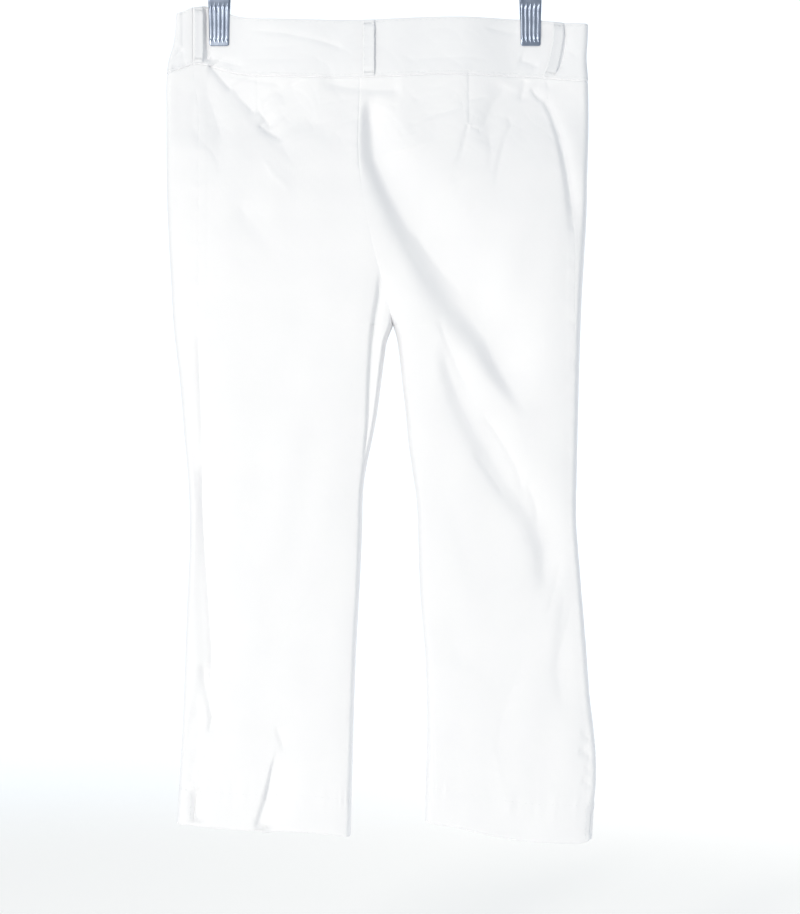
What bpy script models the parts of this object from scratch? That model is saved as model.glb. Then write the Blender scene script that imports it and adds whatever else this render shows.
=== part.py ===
"""Cropped cotton trousers hung by the waistband from two steel clips of a hanger.

The model is in metres, +Z up, with its origin where the hook bears on its rail. The back of
the trousers faces -Y, so X runs to the right as one looks at the back. Heights are kept as
a drop below the hook, and a drop d lies at z = -d.

The cloth is one flattened tube that parts into two legs at the crotch. For each drop, a
table gives where the tube starts and ends across X and how far it stands out in front and
behind. Each sewn piece is a stretch of that tube between two seams, with a wall of cloth
under it.
"""

from math import cos, pi, radians, sin

import bmesh
import bpy
import numpy as np
from mathutils import Vector

MM = 0.001

# Cloth
CLOTH = 1.2 * MM
HEM_CLOTH = 2.2 * MM
BAND_CLOTH = 2.2 * MM
LOOP_CLOTH = 1.6 * MM
SEAM_GAP = 0.3 * MM
BAND_PROUD = 0.4 * MM
BAND_WIDTH = 57 * MM
HEM_TURN_UP = 35 * MM
VENT_HEIGHT = 35 * MM
VENT_GAP = 4 * MM
VENT_EASE = 6 * MM
INSEAM_IN = 2.5 * MM
INSEAM_EASE = 60 * MM
LOOP_WIDTH = 11.5 * MM
LOOP_RISE = 1.8 * MM
LOOP_CLEAR = 0.4 * MM
OVERLAP = 32 * MM
LAP_RAMP = 9 * MM
LOOP_ENDS = (0.015, 0.1, 0.17, 0.83, 0.9, 0.98)
BUTTON_DIAMETER = 16 * MM
BUTTON_IN = 13 * MM
# Section of the button, from its front round its rim to its back: height in millimetres
# over the waistband, and share of the radius
BUTTON_SECTION = ((2.1, 0), (2.1, 0.3), (2.2, 0.66), (2.9, 0.9), (2.4, 1), (1.2, 1), (0.5, 0.86),
                  (0.5, 0))

# The tube of cloth
CROTCH_DROP = 414 * MM
CROTCH_CURVE = 62 * MM
INNER_ROUND = 18 * MM
# Part of the round that is a long soft crown, and how many times as far that reaches
CROWN_SHARE = 0.26
CROWN_REACH = 3.2
# How fast a leg's ring passes the middle seam above the crotch, and where that stops
CLIMB_SPREAD = 0.45
CLIMB_LIMIT = 6
HEM_BASE = 915 * MM
WAIST_BASE = 166 * MM
WAIST_EASE = 90 * MM
HEM_EASE = 130 * MM
UPRIGHT_FROM = 22 * MM
FRONT_DIP = 10 * MM
FOLD_EDGE = 7 * MM

# Hanger
BAR_DROP = 80 * MM
BAR_RADIUS = 2.0 * MM
BAR_HALF_LENGTH = 181 * MM
BAR_END_RADIUS = 3.6 * MM
CLIP_ACROSS = (-155.6 * MM, 155.5 * MM)
JAW_WIDTH_TOP = 23.0 * MM
JAW_WIDTH_TIP = 19.5 * MM
JAW_STEEL = 1.2 * MM
JAW_TIP_DROP = 134.5 * MM
FLUTE_DEPTH = 0.5 * MM
FLUTES = 5
FLUTES_FROM = 94 * MM
FLUTE_EASE = 10 * MM
SLEEVE_RADIUS = 4.6 * MM
SLEEVE_LENGTH = 17 * MM
COLLAR_LENGTH = 14 * MM
HOOK_WIRE = 1.9 * MM
HOOK_BEND = 16 * MM
HOOK_STEM_TOP = 50 * MM
HOOK_SWING = 20 * MM
HOOK_ANGLES = (-52, 212)
# Drop of each bend of a jaw, how far it stands out in millimetres, and whether that is
# counted from the spring or from the grip
JAW_PATH = ((60, 6.5, True), (67, 3.0, True), (74, 0.4, True), (80, 0, True), (86, 0, True),
            (91, -0.7, True), (96, 0.3, False), (101, 0, False), (118, 0, False),
            (JAW_TIP_DROP / MM, 0, False))

# Half the cloth that a clip squeezes, from the middle to the outside of the trouser cloth,
# half the width that it holds flat, how far the cloth takes to open out beside it at the
# jaws and at the foot of the pinch, and how far below the jaws that foot lies
PINCHED = BAND_CLOTH - BAND_PROUD + 0.5 * SEAM_GAP
PINCH_FLAT = 12.2 * MM
PINCH_RAMP = (15 * MM, 55 * MM)
PINCH_FADE = 120 * MM

BACK, FRONT = -1, 1

# Outer edge of the tube and side seam, for each drop, in millimetres
LEFT_SIDE = {
    "drop":      (98, 133, 151, 170, 198, 238, 288, 334, 378, 414, 468, 528, 568,
                  624, 700, 758, 819, 874, 912),
    "outer":     (-198, -201.5, -206.5, -208.5, -208.5, -208.3, -207.5, -205.5, -203,
                  -201, -195, -190, -186.5, -185, -188, -190, -192.5, -195.5, -198),
    "side_seam": (-184, -183.5, -182, -180, -176, -175, -174, -174, -174,
                  -174, -173.8, -173.6, -173, -170, -166, -164, -167, -178, -182),
}
RIGHT_SIDE = {
    "drop":      (98, 133, 143, 170, 193, 219, 261, 311, 345, 378, 414, 491, 568,
                  604, 662, 735, 788, 819, 861, 891, 926),
    "outer":     (213.5, 212, 211.3, 213, 213.5, 213.5, 212.3, 211, 209, 207, 205.5,
                  203.3, 201.5, 201, 205, 211, 215, 218.7, 221, 219, 217),
    "side_seam": (180, 176, 175, 172, 173, 182, 190, 196, 197.8, 198, 198, 199.5,
                  199.3, 199, 203, 209, 213, 216.7, 219, 216.5, 214),
}
# Inner edge of each leg below the crotch
LEFT_INSIDE = {
    "drop":  (414, 431, 443, 466, 489, 509, 532, 554, 568, 624, 681, 742, 819, 922),
    "inner": (17.85, 11.7, 10, 7, 4, 1, -3.6, -8.2, -10.5, -12.8, -15.5, -18.8, -21.5, -24),
}
RIGHT_INSIDE = {
    "drop":  (414, 423, 443, 470, 498, 528, 558, 588, 624, 681, 742, 796, 907),
    "inner": (18.15, 21, 24, 27, 30.3, 33, 37, 41.5, 43, 45, 50, 52, 50),
}
# Seams down the middle, from the waist to the crotch
MIDDLE = {
    "drop":  (98, 170, 258, 300, 340, 380, 414),
    "back":  (-15, -15, -15, -9, -1, 10, 18),
    "front": (2, 3, 6, 9, 12, 15.5, 18),
}
# How far the cloth stands behind and before the plane of the hanger, and how wide it rounds
BODY = {
    "drop":  (98, 150, 170, 198, 238, 288, 334, 378, 414, 468, 528, 624, 758, 874, 925),
    "back":  (11, 13, 14, 18, 27, 36, 40, 40, 38, 34, 31, 27, 23, 21, 21),
    "front": (11, 13, 13.5, 16, 21, 26, 29, 31, 31, 30, 29, 26, 23, 21, 21),
    "round": (20, 21, 21, 21, 22, 24, 25, 25, 25, 24, 23, 22, 22, 21, 20),
}
# Seam under the waistband at the back, and the lower edges of the hems
WAIST_SEAM = {
    "across": (-208, -199, -192, -183, -169, -160, -150, -135, -117, -96, -13, 25,
               55, 137, 170, 191, 213),
    "drop":   (162, 159, 157, 153, 152.5, 155, 158, 162, 164, 165, 166.3, 164.8,
               163.5, 164.5, 166, 168.3, 169.7),
}
LEFT_HEM = {"across": (-198, -182, -167, -123, -64, -24), "drop": (909, 910, 911.5, 915, 917, 922)}
RIGHT_HEM = {"across": (50, 65, 80, 109, 160, 185, 209, 217),
             "drop":   (907, 909.5, 911.5, 918, 926.5, 927.5, 927, 924)}

# Largest folds. Each is a trough along its points (across, drop), steep on one side and
# soft on the other. Right is the side that lies to the right on the way down.
FOLD_COLUMNS = ("side", "depth", "left", "right", "fade_in", "fade_out", "points")
FOLDS = {
    "seat drag":         (BACK, 8.5, 8, 25, 22, 70, ((-5, 180), (-5, 236), (5, 265), (30, 309),
                          (60, 354), (99, 404), (124, 444), (145, 480), (160, 500))),
    "thigh drag":        (BACK, 5.5, 8, 22, 40, 50, ((66, 421), (69, 438), (79, 458), (99, 498),
                          (119, 528), (149, 588), (169, 618), (174, 648), (162, 683))),
    "inside leg ledge":  (BACK, 7, 3.5, 10, 25, 40, ((6, 360), (3, 389), (-0.5, 408), (-3.5, 435),
                          (-5, 458), (-6, 481), (-7, 512), (-9.5, 542), (-13, 570))),
    "left clip crease":  (BACK, 4, 7, 14, 8, 45, ((-152, 158), (-142, 176), (-132, 191),
                          (-119, 206), (-100, 226), (-80, 253))),
    "left clip sag":     (BACK, 4, 8, 10, 10, 50, ((-167, 160), (-166, 183), (-159, 208),
                          (-153, 228), (-150, 273))),
    "right clip crease": (BACK, 3.5, 6, 10, 10, 50, ((152, 172), (164, 184), (176, 206),
                          (185, 234), (190, 262), (195, 311))),
    "left hem crease":   (BACK, 5, 6, 12, 2, 40, ((-124, 920), (-112, 884), (-105, 853),
                          (-99, 834), (-94, 800))),
    "knee crease":       (BACK, 3, 8, 14, 25, 40, ((75, 589), (87, 628), (104, 690))),
    "calf crease":       (BACK, 2.5, 8, 12, 20, 30, ((71, 719), (87, 746), (132, 770))),
    "outer calf crease": (BACK, 3, 7, 12, 25, 30, ((194, 660), (186, 712), (178, 758), (190, 800))),
    "left thigh crease": (BACK, 2, 9, 13, 20, 25, ((-140, 290), (-118, 318), (-92, 352))),
    "left crotch fold":  (FRONT, 5, 9, 15, 15, 60, ((12, 392), (-22, 358), (-72, 328), (-126, 306))),
    "right crotch fold": (FRONT, 5, 15, 9, 15, 60, ((24, 396), (62, 366), (108, 338), (158, 322))),
    "left knee fold":    (FRONT, 3.5, 9, 14, 30, 45, ((-160, 540), (-104, 578), (-62, 640))),
    "right knee fold":   (FRONT, 3.5, 12, 9, 30, 45, ((168, 566), (116, 602), (84, 668))),
    "left waist fold":   (FRONT, 3.5, 8, 12, 8, 50, ((-146, 172), (-126, 206), (-92, 252))),
    "right waist fold":  (FRONT, 3.5, 12, 8, 8, 50, ((148, 174), (126, 214), (98, 262))),
    "right hem fold":    (FRONT, 4, 7, 11, 2, 40, ((126, 922), (114, 884), (108, 838))),
}

# Belt loops: the side that each is on, and where its lower end lies
LOOPS = {
    "belt_loop_back":        (BACK, -6.2 * MM),
    "belt_loop_left_side":   (BACK, -177 * MM),
    "belt_loop_right_side":  (BACK, 174.5 * MM),
    "belt_loop_left_front":  (FRONT, -96 * MM),
    "belt_loop_right_front": (FRONT, 102 * MM),
}
# The right side loop leans outward on its way up, and the waistband's columns with it
RIGHT_LEAN = 8.5 * MM
LEAN_SPREAD = 34 * MM

# Columns and rows of the pieces, the least turn between two columns, and a hair's breadth
# in turns for slopes
PANEL_COLUMNS = 19
BAND_ROWS = 4
COLUMN_SPACE = 0.006
HAIR = 2e-4
# Points of one piece that are closer than this are one point
MERGE = 0.01 * MM


def smooth_through(table, column, at, key="drop"):
    """Read a table column between its rows with a cubic that has no overshoot to speak of."""
    knots = np.array(table[key], float) * MM
    values = np.array(table[column], float) * MM
    slopes = np.gradient(values, knots)
    at = np.clip(at, knots[0], knots[-1])
    low = np.clip(np.searchsorted(knots, at) - 1, 0, len(knots) - 2)
    step = knots[low + 1] - knots[low]
    t = (at - knots[low]) / step
    return ((2 * t**3 - 3 * t**2 + 1) * values[low] + (t**3 - 2 * t**2 + t) * step * slopes[low]
            + (3 * t**2 - 2 * t**3) * values[low + 1] + (t**3 - t**2) * step * slopes[low + 1])


def soft_step(t):
    t = np.clip(t, 0, 1)
    return t * t * (3 - 2 * t)


def edge_rise(distance, radius):
    """Rise of the cloth from the edge of the tube: a quarter ellipse, then a long soft crown."""
    near = np.clip(distance / radius, 0, 1)
    far = np.clip(distance / (CROWN_REACH * radius), 0, 1)
    return ((1 - CROWN_SHARE) * np.sqrt(near * (2 - near))
            + CROWN_SHARE * np.sqrt(far * (2 - far)))


def pinch(across, drop):
    """How far the clips squeeze the cloth: 1 between the jaws, 0 away from them."""
    below = np.clip((drop - JAW_TIP_DROP) / PINCH_FADE, 0, 1)
    flat = PINCH_FLAT * (1 - 0.9 * below)
    ramp = PINCH_RAMP[0] + (PINCH_RAMP[1] - PINCH_RAMP[0]) * below
    grip = 1 - soft_step(below)
    total = 0
    for clip in CLIP_ACROSS:
        total = total + (1 - soft_step((np.abs(across - clip) - flat) / ramp)) * grip
    return np.clip(total, 0, 1)


def fold_depth(across, drop, side):
    """Sum of the folds of one side: how far the cloth sinks at each place."""
    sink = np.zeros(np.broadcast(across, drop).shape)
    for row in FOLDS.values():
        fold = dict(zip(FOLD_COLUMNS, row))
        points = np.array(fold["points"], float) * MM
        steps = np.diff(points, axis=0)
        lengths = np.hypot(steps[:, 0], steps[:, 1])
        starts = np.concatenate(([0], np.cumsum(lengths)))
        nearest = np.full(sink.shape, np.inf)
        signed = np.zeros(sink.shape)
        along = np.zeros(sink.shape)
        for (x0, d0), (dx, dd), length, start in zip(points, steps, lengths, starts):
            t = np.clip(((across - x0) * dx + (drop - d0) * dd) / length**2, 0, 1)
            off_x, off_d = across - x0 - t * dx, drop - d0 - t * dd
            distance = np.hypot(off_x, off_d)
            closer = distance < nearest
            nearest = np.where(closer, distance, nearest)
            signed = np.where(closer, np.sign(dd * off_x - dx * off_d) * distance, signed)
            along = np.where(closer, start + t * length, along)
        width = np.where(signed < 0, fold["left"], fold["right"]) * MM
        fade = (soft_step(along / (fold["fade_in"] * MM))
                * soft_step((starts[-1] - along) / (fold["fade_out"] * MM)))
        weight = np.where(side == fold["side"], 1, 0)
        sink += weight * fold["depth"] * MM * fade * np.exp(-(nearest / width) ** 2)
    return sink


def waist_seam(across, side):
    """Drop of the seam under the waistband; the front dips between its two ends."""
    behind = smooth_through(WAIST_SEAM, "drop", across, key="across")
    ends = np.array((WAIST_SEAM["across"][0], WAIST_SEAM["across"][-1])) * MM
    heights = np.array((WAIST_SEAM["drop"][0], WAIST_SEAM["drop"][-1])) * MM
    share = np.clip((across - ends[0]) / (ends[1] - ends[0]), 0, 1)
    before = heights[0] + share * (heights[1] - heights[0]) + FRONT_DIP * np.sin(pi * share)
    return np.where(side == BACK, behind, before)


def stand_off(across, drop, side, to_outer, to_inner, outer_round):
    """Y of the cloth at a place, from its distances to the two edges of its tube."""
    reach = np.where(side == BACK, smooth_through(BODY, "back", drop),
                     smooth_through(BODY, "front", drop))
    edges = edge_rise(to_outer, outer_round) * edge_rise(to_inner, INNER_ROUND)
    squeezed = pinch(across, drop)
    full = reach * edges
    held = np.minimum(full, PINCHED)
    near_edge = soft_step(np.minimum(to_outer, to_inner) / FOLD_EDGE)
    sink = fold_depth(across, drop, side) * near_edge * (1 - squeezed)
    return side * (held + (full - held) * (1 - squeezed) - sink)


class Leg:
    """One leg with its half of the seat, as a ring for each drop.

    A ring is read by a turn: 0 at its outer edge, 1 at its inner edge and 2 at the outer edge
    again. The back is between 0 and 1, the front between 1 and 2, and 2 to 3 is the back again.
    """

    def __init__(self, name, sign, side_table, inside_table, hem_table):
        self.name = name
        self.sign = sign
        self.side_table = side_table
        self.inside_table = inside_table
        self.hem_table = hem_table

    def past_middle(self, drop):
        """How far the ring reaches past the middle seam, which cuts it above the crotch."""
        climb = np.clip((CROTCH_DROP - drop) / CROTCH_CURVE, 0, CLIMB_LIMIT)
        return INNER_ROUND * climb * (1 + CLIMB_SPREAD * climb)

    def middle(self, drop, side):
        seam = np.where(side == BACK, smooth_through(MIDDLE, "back", drop),
                        smooth_through(MIDDLE, "front", drop))
        return seam + self.sign * 0.5 * SEAM_GAP

    def inner_edge(self, drop, side):
        above = self.middle(drop, side) - self.sign * self.past_middle(drop)
        below = smooth_through(self.inside_table, "inner", drop)
        return np.where(drop < CROTCH_DROP, above, below)

    def across(self, turn, drop):
        side = np.where(np.mod(turn, 2) < 1, BACK, FRONT)
        outer = smooth_through(self.side_table, "outer", drop)
        inner = self.inner_edge(drop, side)
        return outer + (inner - outer) * (1 - np.cos(pi * turn)) / 2, outer, inner, side

    def drop_at(self, turn, base):
        """Drop of a row, which follows the waist seam and the hem near them."""
        at_waist = 1 - soft_step((base - WAIST_BASE) / WAIST_EASE)
        at_hem = 1 - soft_step((HEM_BASE - base) / HEM_EASE)
        drop = base
        for _ in range(4):
            across, _, _, side = self.across(turn, drop)
            hem = smooth_through(self.hem_table, "drop", across, key="across")
            drop = (base + (waist_seam(across, side) - WAIST_BASE) * at_waist
                    + (hem - HEM_BASE) * at_hem)
        return drop

    def point(self, turn, base):
        drop = self.drop_at(turn, base)
        across, outer, inner, side = self.across(turn, drop)
        outer_round = smooth_through(BODY, "round", drop)
        y = stand_off(across, drop, side, np.abs(across - outer), np.abs(inner - across),
                      outer_round)
        return np.stack((across, y, -drop), axis=-1)

    def side_turn(self, drop):
        outer = smooth_through(self.side_table, "outer", drop)
        seam = smooth_through(self.side_table, "side_seam", drop)
        width = np.abs(self.inner_edge(drop, BACK) - outer)
        return np.arccos(1 - 2 * np.abs(seam - outer) / width) / pi

    def inner_turn(self, drop, side):
        """Turn where a panel ends: at the middle seam, and below the crotch at the inseam."""
        outer = smooth_through(self.side_table, "outer", drop)
        width = np.abs(self.inner_edge(drop, side) - outer)
        inseam = np.clip((drop - CROTCH_DROP) / INSEAM_EASE, 0, 1) * INSEAM_IN
        distance = np.where(drop < CROTCH_DROP, self.past_middle(drop), inseam)
        turn = np.arccos(np.clip(2 * distance / width - 1, -1, 1)) / pi
        if side == BACK:
            return turn
        return np.where(drop < CROTCH_DROP, 2 - turn, turn)

    def settled(self, turn_of, base):
        """Turn of a seam on each row, once the row's own drop is known there."""
        drop = base
        for _ in range(8):
            turn = turn_of(drop)
            drop = self.drop_at(turn, base)
        return turn


def surface_with_normal(point, turn, base, outward):
    """Points, their outward normals, and the length that a turn covers there."""
    along = point(turn + HAIR, base) - point(turn - HAIR, base)
    down = point(turn, base + HAIR * HEM_BASE) - point(turn, base - HAIR * HEM_BASE)
    normal = np.cross(along, down) * outward
    normal /= np.linalg.norm(normal, axis=-1, keepdims=True)
    return point(turn, base), normal, np.linalg.norm(along, axis=-1) / (2 * HAIR)


def grid_triangles(points):
    """Two triangles for each cell of a grid, split along its shorter diagonal."""
    rows, columns = points.shape[:2]
    index = np.arange(rows * columns).reshape(rows, columns)
    a, b = index[:-1, :-1], index[:-1, 1:]
    c, d = index[1:, 1:], index[1:, :-1]
    first = np.linalg.norm(points[:-1, :-1] - points[1:, 1:], axis=-1)
    second = np.linalg.norm(points[:-1, 1:] - points[1:, :-1], axis=-1)
    short = (first <= second)[..., None]
    one = np.where(short, np.stack((a, b, c), -1), np.stack((a, b, d), -1))
    two = np.where(short, np.stack((a, c, d), -1), np.stack((b, c, d), -1))
    return np.concatenate((one.reshape(-1, 3), two.reshape(-1, 3)))


def add_object(name, mesh, finish):
    mesh.materials.clear()
    mesh.materials.append(finish)
    made = bpy.data.objects.new(name, mesh)
    COLLECTION.objects.link(made)
    return made


def soften(mesh):
    mesh.shade_smooth()
    mesh.set_sharp_from_angle(angle=radians(40))


def wall(name, outer, inner, finish):
    """Closed wall between two grids of points, with a rim round its four edges."""
    rows, columns = outer.shape[:2]
    count = rows * columns
    index = np.arange(count).reshape(rows, columns)
    loop = np.concatenate((index[0, :-1], index[:-1, -1], index[-1, :0:-1], index[:0:-1, 0]))
    following = np.roll(loop, -1)
    rim = np.concatenate((np.stack((loop, following, following + count), -1),
                          np.stack((loop, following + count, loop + count), -1)))
    cells = grid_triangles(outer)
    faces = np.concatenate((cells[:, ::-1], cells + count, rim))
    vertices = np.concatenate((outer.reshape(-1, 3), inner.reshape(-1, 3)))
    mesh = bpy.data.meshes.new(name)
    mesh.from_pydata(vertices.tolist(), [], faces.tolist())
    closed = bmesh.new()
    closed.from_mesh(mesh)
    bmesh.ops.recalc_face_normals(closed, faces=closed.faces)
    closed.to_mesh(mesh)
    closed.free()
    soften(mesh)
    return add_object(name, mesh, finish)


def make_finish(name, colour, roughness, metallic=0.0):
    made = bpy.data.materials.new(name)
    made.use_nodes = True
    shader = made.node_tree.nodes["Principled BSDF"]
    shader.inputs["Base Color"].default_value = (*colour, 1)
    shader.inputs["Roughness"].default_value = roughness
    shader.inputs["Metallic"].default_value = metallic
    return made


def row_bases():
    """Base drops of a leg's rows, closest round the crotch and with rows at the hem's fold."""
    seat = np.linspace(WAIST_BASE, CROTCH_DROP - CROTCH_CURVE, 9)
    curve = CROTCH_DROP - CROTCH_CURVE * (1 - np.cos(np.linspace(pi / 2, 0, 6)))
    thigh = CROTCH_DROP + np.array((6, 18, 38)) * MM
    turn_up = HEM_BASE - HEM_TURN_UP
    leg = np.linspace(CROTCH_DROP + 64 * MM, turn_up, 15)
    bases = np.concatenate((seat, curve[1:], thigh, leg, (turn_up + 3 * MM, HEM_BASE)))
    bases[0] += 0.5 * SEAM_GAP
    return bases


def panel_edges(leg, is_back, base):
    """First and last turn of a panel on each row, each drawn back from its seam."""
    side = leg.settled(leg.side_turn, base)
    middle = leg.settled(lambda drop: leg.inner_turn(drop, BACK if is_back else FRONT), base)
    side = side if is_back else side + 2
    inward = 1 if is_back else -1
    vent = soft_step((base - (HEM_BASE - VENT_HEIGHT)) / VENT_EASE) * 0.5 * VENT_GAP
    _, _, side_speed = surface_with_normal(leg.point, side, base, leg.sign)
    side = side + inward * (0.5 * SEAM_GAP + vent) / side_speed
    _, _, middle_speed = surface_with_normal(leg.point, middle, base, leg.sign)
    clear = 0.5 * SEAM_GAP / middle_speed
    at_edge = np.minimum(middle, 1 - clear) if is_back else np.maximum(middle, 1 + clear)
    middle = np.where(base < CROTCH_DROP - MERGE, at_edge, middle - inward * clear)
    return (side, middle) if is_back else (middle, side)


def panel_grid(leg, is_back):
    """Turn and base drop of every point of a panel, a row of the grid for each height."""
    base = row_bases()
    first, last = panel_edges(leg, is_back, base)
    share = np.linspace(0, 1, PANEL_COLUMNS + 1)
    turn = first[:, None] + (last - first)[:, None] * share[None, :]
    return turn, np.repeat(base[:, None], len(share), axis=1)


def panel(leg, name, is_back, finish):
    """One back or front panel, from the seam under the waistband to the hem."""
    turn, base = panel_grid(leg, is_back)
    outer, normal, _ = surface_with_normal(leg.point, turn, base, leg.sign)
    thick = np.where(base > HEM_BASE - HEM_TURN_UP + MM, HEM_CLOTH, CLOTH)
    return wall(name, outer, outer - normal * thick[..., None], finish)


def band_edges(drop):
    return (smooth_through(LEFT_SIDE, "outer", drop), smooth_through(RIGHT_SIDE, "outer", drop))


def band_point(turn, share):
    """Place on the waistband. Turns 0 to 1 run along the back from the left, 1 to 2 along
    the front from the right, and the share runs from the seam, 0, to the upper edge, 1."""
    side = np.where(np.mod(turn, 2) < 1, BACK, FRONT)
    drop = WAIST_BASE - share * BAND_WIDTH
    for _ in range(3):
        left, right = band_edges(drop)
        across = left + (right - left) * (1 - np.cos(pi * turn)) / 2
        drop = waist_seam(across, side) - share * BAND_WIDTH
    left, right = band_edges(drop)
    across = left + (right - left) * (1 - np.cos(pi * turn)) / 2
    outer_round = smooth_through(BODY, "round", drop)
    no_middle = 4 * INNER_ROUND
    y = stand_off(across, drop, side, np.minimum(across - left, right - across), no_middle,
                  outer_round)
    return np.stack((across, y, -drop), axis=-1)


def band_turn(across, side, share):
    """Turn of the waistband at a place across X and a share of its height."""
    left, right = band_edges(waist_seam(across, side) - share * BAND_WIDTH)
    turn = np.arccos(np.clip(1 - 2 * (across - left) / (right - left), -1, 1)) / pi
    return np.where(side == BACK, turn, 2 - turn)


def band_surface(columns, share):
    """Outer face of the waistband and its normals, a row for each share.

    A column starts at its turn on the seam and climbs upright, but for those at the outer
    edges, which follow the edge, and those at the right side loop, which lean.
    """
    side = np.where(np.mod(columns, 2) < 1, BACK, FRONT)
    seam = band_point(columns, np.zeros(len(columns)))[:, 0]
    left, right = band_edges(waist_seam(seam, side))
    upright = soft_step(np.minimum(seam - left, right - seam) / UPRIGHT_FROM)
    loop = LOOPS["belt_loop_right_side"][1]
    lean_from = (CLIP_ACROSS[1] + PINCH_FLAT, loop - 0.5 * LOOP_WIDTH, loop + 0.5 * LOOP_WIDTH,
                 loop + LEAN_SPREAD)
    lean = np.interp(seam, lean_from, (0, RIGHT_LEAN, RIGHT_LEAN, 0)) * (side == BACK)
    share = np.repeat(share[:, None], len(columns), axis=1)
    climb = band_turn(seam + lean * share, side, share) - band_turn(seam, side, 0)
    turn = columns + upright * climb
    along = band_point(turn + HAIR, share) - band_point(turn - HAIR, share)
    up = band_point(turn, share + HAIR) - band_point(turn, share - HAIR)
    normal = np.cross(along, up)
    normal /= np.linalg.norm(normal, axis=-1, keepdims=True)
    return band_point(turn, share) + normal * BAND_PROUD, normal


def columns_over(leg, is_back):
    """Turns of the waistband over the columns of a panel, so that their edges run alike."""
    turn, base = panel_grid(leg, is_back)
    across = leg.point(turn[0], base[0])[:, 0]
    side = np.where(np.mod(turn[0], 2) < 1, BACK, FRONT)
    found = band_turn(across, side, 0)
    if leg.name == "left" and not is_back:
        found = np.where(side == BACK, found + 2, found)
    return np.sort(found)


def joined_columns(first, second):
    """Two runs of columns that meet at a middle seam, with one column on the seam."""
    return np.concatenate((first[:-1], [0.5 * (first[-1] + second[0])], second[1:]))


def loop_columns(side, across):
    """Turns of a belt loop's two edges and its middle."""
    middle = band_turn(across, side, 0)
    speed = np.linalg.norm(band_point(middle + HAIR, 0.0) - band_point(middle, 0.0)) / HAIR
    return middle + np.linspace(-0.5, 0.5, 3) * LOOP_WIDTH / speed


def with_fixed(columns):
    """Columns of a stretch, with those of its belt loops and clips for the ones they cover."""
    fixed = [loop_columns(side, across) for side, across in LOOPS.values()]
    for clip in CLIP_ACROSS:
        grip = clip + np.array((-PINCH_FLAT, 0, PINCH_FLAT))
        fixed += [np.sort(band_turn(grip, side, 0)) for side in (BACK, FRONT)]
    fixed = [stretch for stretch in fixed
             if columns[0] < stretch[0] and stretch[-1] < columns[-1]]
    for stretch in fixed:
        covered = ((columns > stretch[0] - COLUMN_SPACE)
                   & (columns < stretch[-1] + COLUMN_SPACE))
        columns = columns[~covered]
    return np.sort(np.concatenate([columns] + fixed))


def band_piece(name, columns, finish, sunk=0.0):
    """A stretch of waistband over the given columns, sunk where it runs under its neighbour."""
    share = np.linspace(0, 1, BAND_ROWS + 1)
    share[0] = 0.5 * SEAM_GAP / BAND_WIDTH
    outer, normal = band_surface(columns, share)
    outer = outer - normal * np.broadcast_to(sunk, columns.shape)[None, :, None]
    return wall(name, outer, outer - normal * BAND_CLOTH, finish)


def waistband(left, right, finish):
    """Back waistband, and two fronts that lap over each other at the button."""
    back = joined_columns(columns_over(left, True), columns_over(right, True))
    band_piece("waistband_back", with_fixed(back), finish)
    front = joined_columns(columns_over(right, False), columns_over(left, False))
    middle = MIDDLE["front"][1] * MM
    lap, level, hidden_end = (band_turn(middle + shift, FRONT, 0) for shift in
                              (-OVERLAP / 2, -OVERLAP / 2 - LAP_RAMP, OVERLAP / 2))
    over = np.concatenate((front[front < lap - COLUMN_SPACE], [lap]))
    band_piece("waistband_front_right", with_fixed(over), finish)
    hidden = front[(front > hidden_end + COLUMN_SPACE) & (front < lap - COLUMN_SPACE)]
    under = np.concatenate(([hidden_end], hidden, [lap, level],
                            front[front > level + COLUMN_SPACE]))
    under = with_fixed(under)
    band_piece("waistband_front_left", under, finish, (BAND_CLOTH + SEAM_GAP) * (under <= lap))


def belt_loop(name, side, across, finish):
    """A folded strip, sewn down at both ends and standing a little off the waistband.

    It is made from the waistband's own points and the straight lines between them.
    """
    band_share = np.linspace(0, 1, BAND_ROWS + 1)
    outer, normal = band_surface(loop_columns(side, across), band_share)
    share = np.sort(np.concatenate((band_share[1:-1], LOOP_ENDS)))
    low = np.searchsorted(band_share, share, side="right") - 1
    past = ((share - band_share[low]) * BAND_ROWS)[:, None, None]
    base = outer[low] * (1 - past) + outer[low + 1] * past
    normal = normal[low] * (1 - past) + normal[low + 1] * past
    rise = LOOP_CLEAR + LOOP_RISE * soft_step(np.minimum(share, 1 - share) / LOOP_ENDS[2])
    inner = base + normal * rise[:, None, None]
    return wall(name, inner + normal * LOOP_CLOTH, inner, finish)


def turned(name, profile, steps, finish, closed=True):
    """A profile of (along, radius) points turned round an axis along X."""
    vertices = [(along, 0, radius) for along, radius in profile]
    edges = [(i, (i + 1) % len(vertices)) for i in range(len(vertices))]
    mesh = bpy.data.meshes.new(name)
    mesh.from_pydata(vertices, edges if closed else edges[:-1], [])
    made = add_object(name, mesh, finish)
    screw = made.modifiers.new("turn", "SCREW")
    screw.axis = "X"
    screw.steps = screw.render_steps = steps
    screw.use_merge_vertices = True
    screw.merge_threshold = MERGE
    return made


def applied_copy(source, name, finish):
    """A closed mesh from what a curve or a modifier shows, in the same place."""
    bpy.context.view_layer.update()
    shown = source.evaluated_get(bpy.context.evaluated_depsgraph_get())
    mesh = bpy.data.meshes.new_from_object(shown)
    mesh.name = name
    closed = bmesh.new()
    closed.from_mesh(mesh)
    bmesh.ops.remove_doubles(closed, verts=closed.verts, dist=MERGE)
    bmesh.ops.recalc_face_normals(closed, faces=closed.faces)
    closed.to_mesh(mesh)
    closed.free()
    matrix = source.matrix_world.copy()
    bpy.data.objects.remove(source, do_unlink=True)
    copy = add_object(name, mesh, finish)
    copy.matrix_world = matrix
    return copy


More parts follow.
